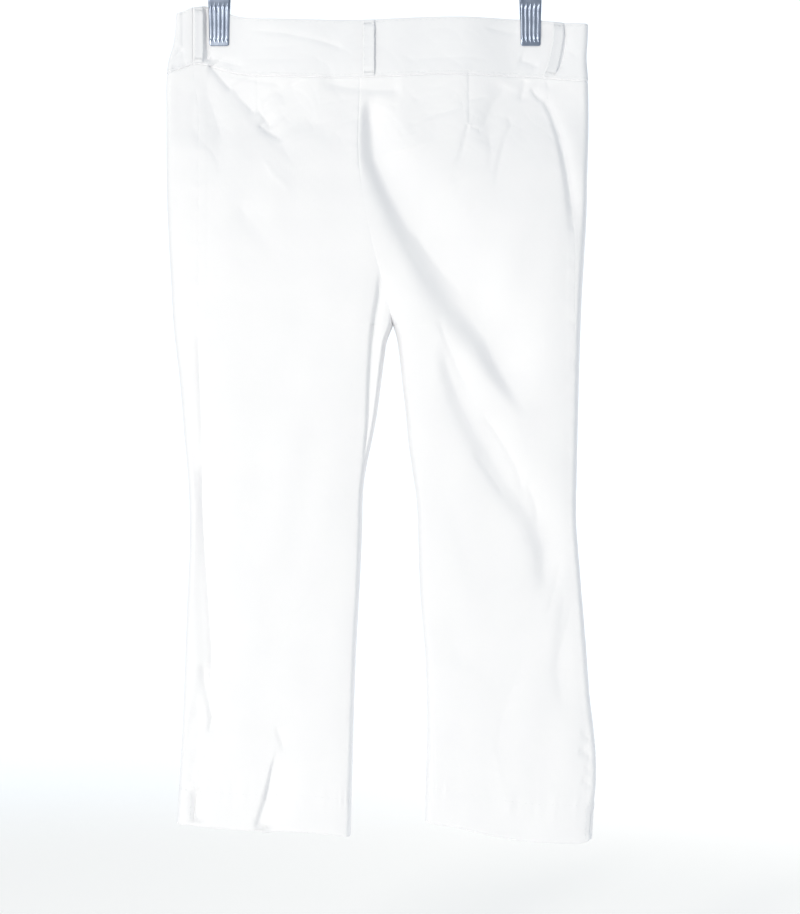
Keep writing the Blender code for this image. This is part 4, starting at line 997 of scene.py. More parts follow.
def cloth_at(leg, is_back, turn, base, first, last):
    """Place and outward normal of a panel's cloth. The smooth form is moved along its normal
    by a groove and a low ridge at each seam, puckers, and the groove of the hem's stitching."""
    along = leg.point(turn + HAIR, base) - leg.point(turn - HAIR, base)
    down = leg.point(turn, base + HAIR) - leg.point(turn, base - HAIR)
    normal = unit(np.cross(along, down) * leg.sign)
    speed = np.linalg.norm(along, axis=-1) / (2 * HAIR)
    vent = vent_open(base)
    to_first, to_last = (turn - first) * speed, (last - turn) * speed
    to_side, to_middle = (to_first, to_last) if is_back else (to_last, to_first)
    height = 0
    seen = 1 - MIDDLE_LOST * soft_step((base - MIDDLE_SEEN_TO) / MIDDLE_EASE)
    facing = np.abs(normal[..., 1]) ** 2 * seen
    for seam, distance, closed, start in (("side", to_side, 1 - vent, 0.4 + leg.sign),
                                          ("middle", to_middle, facing, 2.0)):
        distance = np.abs(distance)
        groove = SEAM_DEPTH[seam] * bell(distance, SEAM_WIDTH)
        ridge = ALLOWANCE_RISE * soft_step((ALLOWANCE - distance) / ALLOWANCE_EASE)
        drawn = puckers(distance, base, start + distance / ALLOWANCE)
        height = height + (ridge - groove + drawn) * closed
    to_hem = np.abs(base - (HEM_BASE - HEM_TURN_UP))
    height = height - HEM_GROOVE * bell(to_hem, HEM_GROOVE_WIDTH)
    height = height + puckers(to_hem, turn * speed, leg.sign)
    height = height - BAND_RECESS * bell(base - WAIST_BASE - RECESS_BELOW, BAND_RECESS_WIDTH)
    if not is_back:
        height = height - UNDERLAP_SINK * vent * (1 - soft_step(np.abs(to_side) / UNDERLAP_EASE))
    return leg.point(turn, base) + normal * height[..., None], normal


print("puckers rise about", 2 * PUCKER_HEIGHT / MM, "mm")

# %% [markdown]
# ## The four panels
#
# Two backs and two fronts are cut flat and sewn along the sides, the inside legs and the
# middle. Each is one sheet here: its rows run from under the waistband to the hem, round the
# fold and 35 mm up again inside. The Solidify modifier then gives the sheet the thickness of
# the cloth, on the inside. The UV map holds metres along the cloth, so the weave keeps its
# size. Rows lie closer round the crotch, where the seam curves fastest.

# %% Rows and columns of a panel
CLOTH, TURN_UP_OFFSET = 0.85 * MM, 2.2 * MM
UNDER_BAND, WAIST_STEP, SEAT_TO, THIGH_TO = 3 * MM, 0.4 * MM, 262 * MM, 10 * MM
SEAT_STEP, LEG_STEP = {BACK: 1.4 * MM, FRONT: 2.8 * MM}, {BACK: 3.1 * MM, FRONT: 2.8 * MM}
HIP_ROWS, CURVE_ROWS = 36, 30
PANEL_COLUMNS = {BACK: 128, FRONT: 84}
BELOW_CROTCH = np.array((0.7, 1.8, 3.3, 5.2, 7.5)) * MM
BESIDE_SEAM = np.array((0, 0.003, 0.006, 0.0095, 0.0135, 0.019, 0.026))  # shares of the width
BETWEEN_SEAMS = (0.035, 0.965)
DART_SHARE = {("left", BACK): 0.44, ("right", BACK): 0.49}
DART_HALF, DART_CLEAR, DART_COLUMNS = 0.034, 0.037, 23


def row_bases(face):
    """Base drops of the rows: closest at the waistband and round the crotch, close in the seat."""
    curve = CROTCH_DROP - CROTCH_CURVE * (1 - np.cos(np.linspace(np.pi / 2, 0, CURVE_ROWS)))
    return np.concatenate((
        WAIST_BASE + np.arange(-UNDER_BAND, UNDER_BAND, WAIST_STEP),
        np.arange(WAIST_BASE + UNDER_BAND, SEAT_TO, SEAT_STEP[face]),
        np.linspace(SEAT_TO, CROTCH_DROP - CROTCH_CURVE, HIP_ROWS),
        curve[1:],
        CROTCH_DROP + BELOW_CROTCH,
        np.linspace(CROTCH_DROP + THIGH_TO, HEM_BASE, int((HEM_BASE - CROTCH_DROP) / LEG_STEP[face])),
    ))


def column_shares(count, dart=None):
    """Shares across a panel, closer together beside its seams and round its dart."""
    between = np.linspace(*BETWEEN_SEAMS, count - 2 * len(BESIDE_SEAM))
    shares = np.concatenate((BESIDE_SEAM, between, 1 - BESIDE_SEAM[::-1]))
    if dart is None:
        return shares
    near = np.linspace(dart - DART_HALF, dart + DART_HALF, DART_COLUMNS)
    return np.sort(np.concatenate((shares[np.abs(shares - dart) > DART_CLEAR], near)))


print("a back panel has", len(row_bases(BACK)), "rows outside")


# %% Panels
def make_panel(leg, is_back):
    """One panel as a sheet: outer rows, three rows round the hem's fold, and the turn-up."""
    face = BACK if is_back else FRONT
    base = row_bases(face)[:, None]
    share = column_shares(PANEL_COLUMNS[face], DART_SHARE.get((leg.name, face)))[None, :]
    first, last = (edge[:, None] for edge in panel_edges(leg, is_back, base[:, 0]))
    turn = first + (last - first) * share
    base = np.broadcast_to(base, turn.shape)
    outer, normal = cloth_at(leg, is_back, turn, base, first, last)
    inside = base[:, 0] > HEM_BASE - HEM_TURN_UP
    angle = np.radians((45, 90, 135))[:, None, None]
    fold = (outer[-1] - normal[-1] * (1 - np.cos(angle)) * TURN_UP_OFFSET / 2
            + np.array((0, 0, -1)) * np.sin(angle) * TURN_UP_OFFSET / 2)
    turn_up = (outer - normal * TURN_UP_OFFSET)[inside][::-2]
    points = np.concatenate((outer, fold, turn_up))
    across_length, down_length = cloth_length(points, 1), cloth_length(points, 0)
    uv = np.stack((across_length - across_length[:, -1:] / 2, -down_length), -1)
    faces = cells(numbered(points))[:, ::1 if leg.sign > 0 else -1]
    name = f"{'back' if is_back else 'front'}_{leg.name}"
    piece = add_piece(f"cloth_{name}", points, faces, COTTON, (name,), uv)
    ends = np.zeros(2 * len(piece.data.edges), np.int32)
    piece.data.edges.foreach_get("vertices", ends)
    column, last_column = ends.reshape(-1, 2) % points.shape[1], points.shape[1] - 1
    sharp = np.all(column == 0, 1) | np.all(column == last_column, 1)
    piece.data.edges.foreach_set("use_edge_sharp", sharp)
    thick = piece.modifiers.new("cloth thickness", "SOLIDIFY")
    thick.thickness, thick.offset = CLOTH, -1
    widest, longest = across_length[:, -1].max(), down_length[-1].max()
    a, b = points[:-1, 1:] - points[:-1, :-1], points[1:, :-1] - points[:-1, :-1]
    area = np.linalg.norm(np.cross(a, b), axis=-1).sum()
    print(f"{piece.name}: cut {widest:.3f} by {longest:.3f} m, {area:.4f} square metres")
    return piece, (widest, longest), area


PANELS = {f"{leg.name} {'back' if is_back else 'front'}": make_panel(leg, is_back)
          for leg in (LEFT, RIGHT) for is_back in (True, False)}

# %% [markdown]
# ## Waistband
#
# A waistband is a strip folded along its upper edge over a stiff interfacing, so both faces
# are cloth and it stands a little proud of the panels. It is made as a wall between an outer
# and an inner grid that draw together at every edge, which rounds the fold. The right front
# laps over the left one, which runs on beneath it.

# %% Waistband surface
BAND_WIDTH, BAND_CLOTH, BAND_PROUD = 57 * MM, 2.2 * MM, 0.4 * MM
LOW_WEAR, FOLD_WEAR, END_WEAR = (0.4 * MM, 0.8 * MM), (0.8 * MM, 2 * MM), (0.7 * MM, 1.4 * MM)
STITCHED_IN, STITCH_GROOVE, STITCH_GROOVE_WIDTH = 2.5 * MM, 0.22 * MM, 0.7 * MM
BAND_PUCKERS, BAND_SAMPLES, BAND_STEP = 0.6, 400, 1.6 * MM
OVERLAP, LAP_RAMP, LAP_SINK = 32 * MM, 9 * MM, 2.5 * MM
UPRIGHT_FROM, RIGHT_LEAN, LEAN_SPREAD = 22 * MM, 10 * MM, 34 * MM
LOOP_WIDTH = 11.5 * MM
LOOPS = {"belt_loop_back": (BACK, -6.2 * MM), "belt_loop_left_side": (BACK, -177 * MM),
         "belt_loop_right_side": (BACK, 172.5 * MM), "belt_loop_left_front": (FRONT, -96 * MM),
         "belt_loop_right_front": (FRONT, 102 * MM)}
BAND_SHARES = np.concatenate(((0.002, 0.008, 0.018, 0.03, 0.043, 0.056), np.linspace(0.075, 0.925, 36),
                              (0.944, 0.957, 0.97, 0.982, 0.992, 0.999)))


def band_edges(drop):
    """Outer ends of the waistband's ring."""
    return smooth_through(LEFT_SIDE, "outer", drop), smooth_through(RIGHT_SIDE, "outer", drop)


def band_point(turn, share):
    """Place on the waistband. Turns 0 to 1 run along the back from the left, 1 to 2 along the
    front from the right. The share runs from the seam, 0, to the upper edge, 1."""
    side = np.where(np.mod(turn, 2) < 1, BACK, FRONT)
    drop = WAIST_BASE - share * BAND_WIDTH + 0 * turn
    for _ in range(4):
        left, right = band_edges(drop)
        across = left + (right - left) * (1 - np.cos(np.pi * turn)) / 2
        drop = waist_seam(across, side) - share * BAND_WIDTH
    y = stand_off(across, drop, side, np.minimum(across - left, right - across), 4 * INNER_ROUND)
    return np.stack((across, y, -drop), axis=-1)


def band_turn(across, side, share=0.0):
    """Turn of the waistband at a place across X."""
    left, right = band_edges(waist_seam(across, side) - share * BAND_WIDTH)
    turn = np.arccos(np.clip(1 - 2 * (across - left) / (right - left), -1, 1)) / np.pi
    return np.where(side == BACK, turn, 2 - turn)


def band_surface(columns, share):
    """Outer face of the waistband and its normals, a row for each share. A column climbs
    upright, but for those at the outer edges and those that lean with the right side loop."""
    side = np.where(np.mod(columns, 2) < 1, BACK, FRONT)
    seam = band_point(columns, np.zeros(len(columns)))[:, 0]
    left, right = band_edges(waist_seam(seam, side))
    upright = soft_step(np.minimum(seam - left, right - seam) / UPRIGHT_FROM)
    loop = LOOPS["belt_loop_right_side"][1]
    lean_from = (CLIP_ACROSS[1] + PINCH_FLAT, loop - 0.5 * LOOP_WIDTH, loop + 0.5 * LOOP_WIDTH,
                 loop + LEAN_SPREAD)
    lean = np.interp(seam, lean_from, (0, RIGHT_LEAN, RIGHT_LEAN, 0)) * (side == BACK)
    share = np.repeat(share[:, None], len(columns), axis=1)
    climb = band_turn(seam + lean * (1 - (1 - share) ** 2), side, share) - band_turn(seam, side)
    turn = columns + upright * climb
    along = band_point(turn + HAIR, share) - band_point(turn - HAIR, share)
    up = band_point(turn, share + HAIR) - band_point(turn, share - HAIR)
    normal = unit(np.cross(along, up))
    return band_point(turn, share) + normal * BAND_PROUD, normal


def band_relief(along, share):
    """Height of the band over its smooth form: worn down over 0.8 mm at its lower edge and 2 mm
    at its fold, with a groove and faint puckers where it is stitched."""
    low, high = share * BAND_WIDTH, (1 - share) * BAND_WIDTH
    worn = worn_down(low, *LOW_WEAR) + worn_down(high, *FOLD_WEAR)
    drawn = BAND_PUCKERS * (puckers(low, along, 1.0) + puckers(high, along, 2.7))
    groove = STITCH_GROOVE * (bell(low - STITCHED_IN, STITCH_GROOVE_WIDTH)
                              + bell(high - STITCHED_IN, STITCH_GROOVE_WIDTH))
    return drawn - worn - groove


print("the waistband has", len(BAND_SHARES), "rows")


# %% Waistband
def sunk_under(turn, lap):
    """How much deeper the band lies where it runs under its neighbour, up to the lap."""
    if lap is None:
        return np.zeros(turn.shape)
    return LAP_SINK * (1 - soft_step((turn - lap[0]) / (lap[1] - lap[0])))


def make_band(name, first, last, lap=None):
    """A stretch of waistband between two turns, with columns closest at its ends."""
    turns = np.linspace(first, last, BAND_SAMPLES)
    length = cloth_length(band_point(turns, np.full(BAND_SAMPLES, 0.5))[None], 1)[0]
    whole, end = length[-1], np.array((0, 0.4, 1.1)) * MM
    wanted = np.concatenate((end, np.linspace(2 * MM, whole - 2 * MM, int(whole / BAND_STEP)),
                             whole - end[::-1]))
    columns = np.interp(wanted, length, turns)
    outer, normal = band_surface(columns, BAND_SHARES)
    share = BAND_SHARES[:, None]
    at_end = worn_down(np.minimum(wanted, whole - wanted)[None, :], *END_WEAR)
    sunk = sunk_under(columns, lap)
    face = outer + normal * (band_relief(wanted[None, :], share) - at_end - sunk)[..., None]
    thick = BAND_CLOTH - worn_down((1 - share) * BAND_WIDTH, *FOLD_WEAR)
    lining = outer - normal * (thick - at_end * 0.5 + sunk)[..., None]
    uv = np.stack(np.broadcast_arrays(wanted[None, :], share * BAND_WIDTH), -1)
    piece = add_wall(f"cloth_{name}", face, lining, BAND_COTTON, (name,), uv)
    print(f"{piece.name}: {whole:.3f} m long, {len(piece.data.polygons)} faces")
    return piece, whole


def side_seam_turn(side_table):
    """Turn of the waistband where the side seam meets it."""
    across = np.array(0.0)
    for _ in range(6):
        across = smooth_through(side_table, "side_seam", waist_seam(across, BACK))
    return float(band_turn(across, BACK))


middle_front = MIDDLE["front"][1] * MM
left_seam, right_seam = side_seam_turn(LEFT_SIDE), side_seam_turn(RIGHT_SIDE)
lap_end, lap_level, hidden_end = (
    float(band_turn(np.array(middle_front + shift), FRONT))
    for shift in (-OVERLAP / 2, -OVERLAP / 2 - LAP_RAMP, OVERLAP / 2))
TINY_TURN = 1e-4
BANDS = {name: make_band(name, *ends) for name, *ends in (
    ("waistband_back", left_seam + TINY_TURN, right_seam - TINY_TURN),
    ("waistband_front_right", right_seam + TINY_TURN, lap_end),
    ("waistband_front_left", hidden_end, 2 + left_seam - TINY_TURN, (lap_end, lap_level)))}

# %% [markdown]
# ## Belt loops
#
# A belt loop is a strip folded in three, pressed, stitched along both edges, and sewn down at
# its ends with a dense bar of thread. It stands off the waistband between those bars so that
# a belt can pass. Each loop is a wall: its middle line rises with a soft step from both ends,
# and its thickness shrinks to a rounded edge at the sides.

# %% Belt loops
LOOP_CLOTH, LOOP_RISE, LOOP_CLEAR, LOOP_SEWN = 1.6 * MM, 1.8 * MM, 0.4 * MM, 0.17
NARROW_LOOP, LOOP_TWIST = 9.5 * MM, np.radians(24)
LOOP_END, LOOP_ROUNDED, LOOP_PRESSED_AT = 0.012, 0.02, 0.07  # shares of its length
LOOP_DIP, LOOP_DIP_WIDTH, LOOP_PRESS, LOOP_PRESS_WIDTH = 0.18 * MM, 0.22, 0.25 * MM, 0.03
EDGE_THIN, END_THIN = 0.25, 0.4  # shares of the thickness that are left at its very edges and ends


def loop_surface(side, across, spread, share):
    """Middle surface of a loop and its normals. The spread runs from -0.5 to 0.5 across it."""
    middle = float(band_turn(np.array(across), side))
    base, normal = band_surface(np.array((middle - HAIR, middle, middle + HAIR)), share)
    beside, normal = unit(base[:, 2:] - base[:, :1]), normal[:, 1:2]
    width = NARROW_LOOP if across < CLIP_ACROSS[0] else LOOP_WIDTH
    if side == BACK and across > CLIP_ACROSS[1]:
        beside, normal = (beside * np.cos(LOOP_TWIST) - normal * np.sin(LOOP_TWIST),
                          normal * np.cos(LOOP_TWIST) + beside * np.sin(LOOP_TWIST))
    rise = LOOP_CLEAR + LOOP_RISE * soft_step(np.minimum(share, 1 - share) / LOOP_SEWN)
    place = base[:, 1:2] + beside * (spread * width)[None, :, None]
    return place + normal * (rise + LOOP_CLOTH / 2)[:, None, None], np.repeat(normal, len(spread), axis=1)


def make_loop(name, side, across):
    """A loop as a wall, with edges rounded by the square root of (1 - spread^6), a soft dip
    down its middle between the stitched edges, and a press mark at each sewn end."""
    spread = np.sin(np.linspace(-np.pi / 2, np.pi / 2, 17)) / 2
    rows = np.linspace(0.035, 0.965, 44)
    share = np.concatenate(((LOOP_END, 0.02), rows, (0.98, 1 - LOOP_END)))
    to_end = np.minimum(share, 1 - share)
    middle, normal = loop_surface(side, across, spread, share)
    edge = np.clip(1 - (2 * np.abs(spread)) ** 6, 0, 1) ** 0.5
    end = np.clip((to_end - LOOP_END) / LOOP_ROUNDED, 0, 1) ** 0.5
    half = (LOOP_CLOTH / 2 * (EDGE_THIN + (1 - EDGE_THIN) * edge[None, :])
            * (END_THIN + (1 - END_THIN) * end[:, None]))
    marks = (LOOP_DIP * bell(spread, LOOP_DIP_WIDTH)[None, :]
             + LOOP_PRESS * bell(to_end - LOOP_PRESSED_AT, LOOP_PRESS_WIDTH)[:, None])
    uv = np.stack(np.broadcast_arrays(spread[None, :] * LOOP_WIDTH, share[:, None] * BAND_WIDTH), -1)
    return add_wall(f"cloth_{name}", middle + normal * (half - marks)[..., None],
                    middle - normal * half[..., None], BAND_COTTON, (name,), uv)


LOOP_PIECES = {name: make_loop(name, side, across) for name, (side, across) in LOOPS.items()}
print("belt loops:", len(LOOP_PIECES))

# %% [markdown]
# ## Stitches
#
# A lockstitch shows as a row of short rounded dashes, each about 2.8 mm long, that dip into
# the cloth at both ends. There are more than a thousand of them, so one stitch has only
# 31 faces, and all stitches of one seam are computed at once and joined in one mesh.

# %% Stitches
STITCH_PITCH, STITCH_LENGTH, THREAD_RADIUS = 3.3 * MM, 2.8 * MM, 0.24 * MM
DASH_AT = np.array((-0.5, -0.36, -0.12, 0.12, 0.36, 0.5))  # rings along a stitch
DASH_GIRTH = np.array((0.25, 0.85, 1, 1, 0.85, 0.25))
DASH_SIDES = 5
DASH_CAPS = np.array(((4, 3, 2), (4, 2, 1), (4, 1, 0), (25, 26, 27), (25, 27, 28), (25, 28, 29)))


def spaced(path, normals, pitch):
    """Points, directions and normals at even steps along a line of points."""
    lengths = lengths_along(path)
    count = max(int(lengths[-1] / pitch), 1)
    at = (np.arange(count) + 0.5) * lengths[-1] / count
    ahead = read_at(at, lengths, np.gradient(path, lengths, axis=0))
    return read_at(at, lengths, path), unit(ahead), unit(read_at(at, lengths, normals))


def stitch_mesh(centre, ahead, normal, length, radius):
    """Dashes with six rings of five points. The height over the cloth follows half a sine, so
    both ends dip in, and the girth shrinks there."""
    lift = np.cos(np.pi * DASH_AT) * radius * 1.1 - radius * 0.35
    angle = np.linspace(0, 2 * np.pi, DASH_SIDES, endpoint=False)
    beside = unit(np.cross(ahead, normal))
    spine = (centre[:, None] + ahead[:, None] * (DASH_AT * length)[None, :, None]
             + normal[:, None] * lift[None, :, None])
    ring = (np.cos(angle)[None, None, :, None] * beside[:, None, None]
            + np.sin(angle)[None, None, :, None] * normal[:, None, None])
    points = spine[:, :, None] + ring * (DASH_GIRTH * radius)[None, :, None, None]
    starts = np.arange(len(centre))[:, None, None] * DASH_SIDES * len(DASH_AT)
    quads, caps = ((one[None] + starts).reshape(-1, one.shape[1]).tolist()
                   for one in (round_cells(points[0]), DASH_CAPS))
    return points, quads + caps


def add_stitches(name, runs, length=STITCH_LENGTH, radius=THREAD_RADIUS, pitch=STITCH_PITCH):
    """All runs of one seam in one piece. A run is a line of points with its normals."""
    placed = [spaced(path, normals, pitch) for path, normals in runs]
    centre, ahead, normal = (np.concatenate(part) for part in zip(*placed))
    points, faces = stitch_mesh(centre, ahead, normal, length, radius)
    print(f"{name}: {len(centre)} stitches")
    return add_piece(name, points, faces, THREAD, sharp_from=None)


print("a stitch has", len(stitch_mesh(*np.eye(3)[:, None], 1, 1)[1]), "faces")


# %% Seams and their stitches
HEM_SAMPLES, VENT_SAMPLES, BAND_LINE_SAMPLES, LOOP_SAMPLES = 200, 40, 500, 80
HEM_LINE_FREE, LOOP_LINE_FREE = 0.008, 0.03  # shares of a line without stitches at its ends
VENT_STITCH_IN, VENT_STITCH_END, LOOP_STITCH_IN = 5 * MM, 1.5 * MM, 1.6 * MM
BAND_LINE_SUNK, LOOP_LINE_SUNK, TACK_SUNK = 0.2 * MM, 0.05 * MM, 0.1 * MM
TACKS, TACK_SPREAD, TACK_PLACE, TACK_HALF = 10, 0.42, 0.075, 0.016
RUN_FREE = 0.002  # turns of the waistband without stitches where two strips meet


def hem_line(leg, is_back):
    """Along the upper edge of the turn-up, from seam to seam."""
    base = np.full(HEM_SAMPLES, HEM_BASE - HEM_TURN_UP)
    first, last = panel_edges(leg, is_back, base)
    turn = first + (last - first) * np.linspace(HEM_LINE_FREE, 1 - HEM_LINE_FREE, HEM_SAMPLES)
    return cloth_at(leg, is_back, turn, base, first, last)


def vent_line(leg, is_back):
    """Beside the vent, 5 mm from its edge."""
    base = np.linspace(HEM_BASE - HEM_TURN_UP, HEM_BASE - VENT_STITCH_END, VENT_SAMPLES)
    first, last = panel_edges(leg, is_back, base)
    edge, inward = (first, 1) if is_back else (last, -1)
    turn = edge + inward * VENT_STITCH_IN / turn_length(leg, edge, base)
    return cloth_at(leg, is_back, turn, base, first, last)


def band_line(first, last, share):
    """Along the waistband at one share of its height, sunk a little into it."""
    place, normal = band_surface(np.linspace(first, last, BAND_LINE_SAMPLES), np.array([share]))
    return place[0] - normal[0] * BAND_LINE_SUNK, normal[0]


def loop_lines(side, across):
    """Two lines along a loop, 1.6 mm in from each edge."""
    spread = np.array((-0.5, 0.5)) * (1 - 2 * LOOP_STITCH_IN / LOOP_WIDTH)
    share = np.linspace(LOOP_LINE_FREE, 1 - LOOP_LINE_FREE, LOOP_SAMPLES)
    middle, normal = loop_surface(side, across, spread, share)
    face = middle + normal * (LOOP_CLOTH / 2 - LOOP_LINE_SUNK)
    return [(face[:, k], normal[:, k]) for k in (0, 1)]


def loop_bars(side, across):
    """Bar tacks: ten short stitches side by side across each end of a loop."""
    bars = []
    for end in (TACK_PLACE, 1 - TACK_PLACE):
        for place in np.linspace(-TACK_SPREAD, TACK_SPREAD, TACKS):
            share = end + np.array((-TACK_HALF, TACK_HALF))
            middle, normal = loop_surface(side, across, np.array([place]), share)
            bars.append(((middle + normal * (LOOP_CLOTH / 2 - TACK_SUNK))[:, 0], normal[:, 0]))
    return bars


PANEL_KEYS = [(leg, is_back) for leg in (LEFT, RIGHT) for is_back in (True, False)]
hem_stitches = add_stitches("stitches_hems", [hem_line(*key) for key in PANEL_KEYS]
                            + [vent_line(*key) for key in PANEL_KEYS])
band_runs = ((left_seam + RUN_FREE, right_seam - RUN_FREE),
             (right_seam + RUN_FREE, lap_end - 2 * RUN_FREE), (lap_level, 2 - RUN_FREE + left_seam))
band_stitches = add_stitches("stitches_waistband", [
    band_line(*run, share) for share in (STITCHED_IN / BAND_WIDTH, 1 - STITCHED_IN / BAND_WIDTH)
    for run in band_runs])
loop_stitches = add_stitches("stitches_loops", [line for each in LOOPS.values()
                                                for line in loop_lines(*each)],
                             length=2.4 * MM, radius=0.2 * MM, pitch=2.8 * MM)
loop_tacks = add_stitches("bar_tacks", [bar for each in LOOPS.values() for bar in loop_bars(*each)],
                          length=2.2 * MM, radius=0.3 * MM, pitch=4 * MM)

# %% [markdown]
# ## Fly
#
# The zip lies under the right front, so all that shows is the line of stitching that holds
# its facing: straight down beside the middle seam, then curved in to meet it. It is drawn
# as a path across the right front and laid on the cloth.

# %% Fly stitching
FLY = ((39, 178), (40, 215), (41, 255), (41, 285), (38, 303), (31, 317), (21, 326), (12.5, 330))


def base_of(leg, turn, drop):
    """Row that comes out at a wanted drop, found by stepping back the difference."""
    base = drop.copy()
    for _ in range(12):
        base = base + (drop - leg.drop_at(turn, base))
    return base


def fly_line(inset):
    """The fly's path, resampled and drawn in by an inset."""
    points = np.array(FLY, float) * MM
    lengths = lengths_along(points)
    across, drop = read_at(np.linspace(0, lengths[-1], 160), lengths, points).T
    slope = unit(np.stack((np.gradient(across), np.gradient(drop)), -1))
    across, drop = across - slope[:, 1] * inset, drop + slope[:, 0] * inset
    turn = RIGHT.turn_at(across, drop, FRONT)
    base = base_of(RIGHT, turn, drop)
    return cloth_at(RIGHT, False, turn, base, *panel_edges(RIGHT, False, base))


fly_stitches = add_stitches("stitches_fly", [fly_line(0.0), fly_line(6 * MM)])

# %% [markdown]
# ## Button and buttonhole
#
# A trouser button is cast or turned in polyester: a flat disc with a raised rim and four
# holes, held by crossed thread. It is a surface of radius and angle. Its height follows the
# profile of the rim, and four soft wells are sunk in it for the holes. The buttonhole beneath
# is a slot edged with close satin stitches, drawn as one ribbed tube round the slot.

# %% Button sizes and place
BUTTON_RADIUS, BUTTON_IN = 8 * MM, 13 * MM
HOLE_BRIM, HOLE_SLOPE, HOLE_OUT, HOLE_DEPTH = 1.15 * MM, 0.35 * MM, 2.0 * MM, 1.2 * MM
BUTTON_PROFILE = np.array((  # radius as a share, height in millimetres
    (0, 2.1), (0.3, 2.1), (0.55, 2.12), (0.66, 2.2), (0.76, 2.6), (0.84, 2.86), (0.9, 2.9),
    (0.95, 2.8), (0.985, 2.6), (1, 2.3), (1, 1.2), (0.97, 0.9), (0.86, 0.5), (0, 0.5)))
RIM = 9  # the row of the profile where its face ends
BUTTON_RINGS = np.concatenate((np.linspace(0, 0.5, 22), (0.55, 0.6, 0.64, 0.68, 0.72, 0.76, 0.8, 0.84,
                                                         0.88, 0.92, 0.95, 0.975, 0.99)))
STRAND_FOOT, STRAND_ARCH, STRAND_ASIDE, STRAND_RADIUS = 1.3 * MM, 1.25 * MM, 0.22 * MM, 0.26 * MM
SLOT_HALF, SLOT_END, SLOT_BEHIND, SLOT_STITCHES = 8 * MM, 1.1 * MM, 7 * MM, 100
SATIN_RADIUS, SATIN_SWELL, SATIN_WIDE, SATIN_HIGH = 0.5 * MM, 0.1 * MM, 1.5, 0.55


def on_front_band(across):
    """Place and normal halfway up the front waistband."""
    turn = np.array([float(band_turn(np.array(across), FRONT))])
    place, normal = band_surface(turn, np.array([0.5]))
    return place[0, 0], normal[0, 0]


button_across = middle_front - OVERLAP / 2 + BUTTON_IN
BUTTON_PLACE, BUTTON_OUT = on_front_band(button_across)
BUTTON_SIDE = unit(np.cross((0, 0, 1), BUTTON_OUT))
BUTTON_UP = np.cross(BUTTON_OUT, BUTTON_SIDE)
HOLES = np.array([(HOLE_OUT * np.cos(a), HOLE_OUT * np.sin(a)) for a in np.radians((45, 135, 225, 315))])


def on_button(x, y, z):
    """From the button's own plane to the frame."""
    return BUTTON_PLACE + BUTTON_SIDE * x[..., None] + BUTTON_UP * y[..., None] + BUTTON_OUT * z[..., None]


print("button at", BUTTON_PLACE.round(4))


# %% Button and buttonhole
def make_button():
    """Height is the profile at that radius, less a well at each hole."""
    share, level = BUTTON_PROFILE.T
    radius = np.concatenate((BUTTON_RINGS, share[RIM:])) * BUTTON_RADIUS
    top = np.interp(BUTTON_RINGS, share[:RIM + 1], level[:RIM + 1])
    height = np.concatenate((top, level[RIM:])) * MM
    angle = np.linspace(0, 2 * np.pi, 64, endpoint=False)
    x, y = radius[:, None] * np.cos(angle), radius[:, None] * np.sin(angle)
    z = np.repeat(height[:, None], len(angle), axis=1)
    well = sum(soft_step((HOLE_BRIM - np.hypot(x - hx, y - hy)) / HOLE_SLOPE) for hx, hy in HOLES)
    z[:len(top)] -= HOLE_DEPTH * np.clip(well, 0, 1)[:len(top)]
    points = on_button(x, y, z)
    return add_piece("button_disc", points, round_cells(points), RESIN, ("waist_button",),
                     merge=1e-6)


def make_button_thread():
    """Two strands between each pair of opposite holes, as bent tubes that rise over the middle."""
    points, faces, count = [], [], 0
    t = np.linspace(0, 1, 15)
    height = STRAND_FOOT + STRAND_ARCH * np.sin(np.pi * t) ** 0.5
    for (x0, y0), (x1, y1) in ((HOLES[0], HOLES[2]), (HOLES[1], HOLES[3])):
        for side in (-STRAND_ASIDE, STRAND_ASIDE):
            away = unit(np.array((y0 - y1, x1 - x0))) * side
            path = on_button(x0 + (x1 - x0) * t + away[0], y0 + (y1 - y0) * t + away[1], height)
            guide = np.repeat(BUTTON_OUT[None], len(t), 0)
            more, cell = tube(path, guide, STRAND_RADIUS, step=0.4 * MM, sides=8)
            points.append(more)
            faces.append(cell + count)
            count += len(more)
    return add_piece("button_thread", np.concatenate(points), np.concatenate(faces), THREAD,
                     merge=1e-7)


def make_buttonhole():
    """A ring round a slot: the radius of its section swells and shrinks once for each stitch."""
    around = np.linspace(0, 2 * np.pi, 4 * SLOT_STITCHES, endpoint=False)
    x = np.clip(np.cos(around) * 3, -1, 1) * SLOT_HALF + SLOT_END * np.cos(around)
    y = SLOT_END * np.clip(np.sin(around) * 1.6, -1, 1)
    centre, normal = on_front_band(button_across - SLOT_BEHIND)
    ring = centre + BUTTON_SIDE * x[:, None] + BUTTON_UP * y[:, None]
    ahead = unit(np.roll(ring, -1, 0) - np.roll(ring, 1, 0))
    beside = np.cross(ahead, normal)
    angle = np.linspace(0, 2 * np.pi, 8, endpoint=False)
    girth = SATIN_RADIUS + SATIN_SWELL * np.cos(around * SLOT_STITCHES)
    section = (SATIN_WIDE * np.cos(angle)[None, :, None] * beside[:, None]
               + SATIN_HIGH * np.sin(angle)[None, :, None] * normal)
    points = ring[:, None] + girth[:, None, None] * section
    faces = cells(np.pad(numbered(points), (0, 1), mode="wrap"))
    return add_piece("buttonhole_thread", points, faces, THREAD)


button_disc, button_thread, buttonhole = make_button(), make_button_thread(), make_buttonhole()
print("button:", len(button_disc.data.polygons), "faces")

# %% [markdown]
# ## Clips
#
# Each clip is two pressed steel jaws that a coil spring closes. A jaw has a flared finger tab,
# a bend that hugs the spring, and a flat grip with five raised ribs. The ribs run out in
# points above a plain lip that carries the light. It is a wall: the inner face follows the
# bends, and the outer face adds the steel's thickness and the ribs.

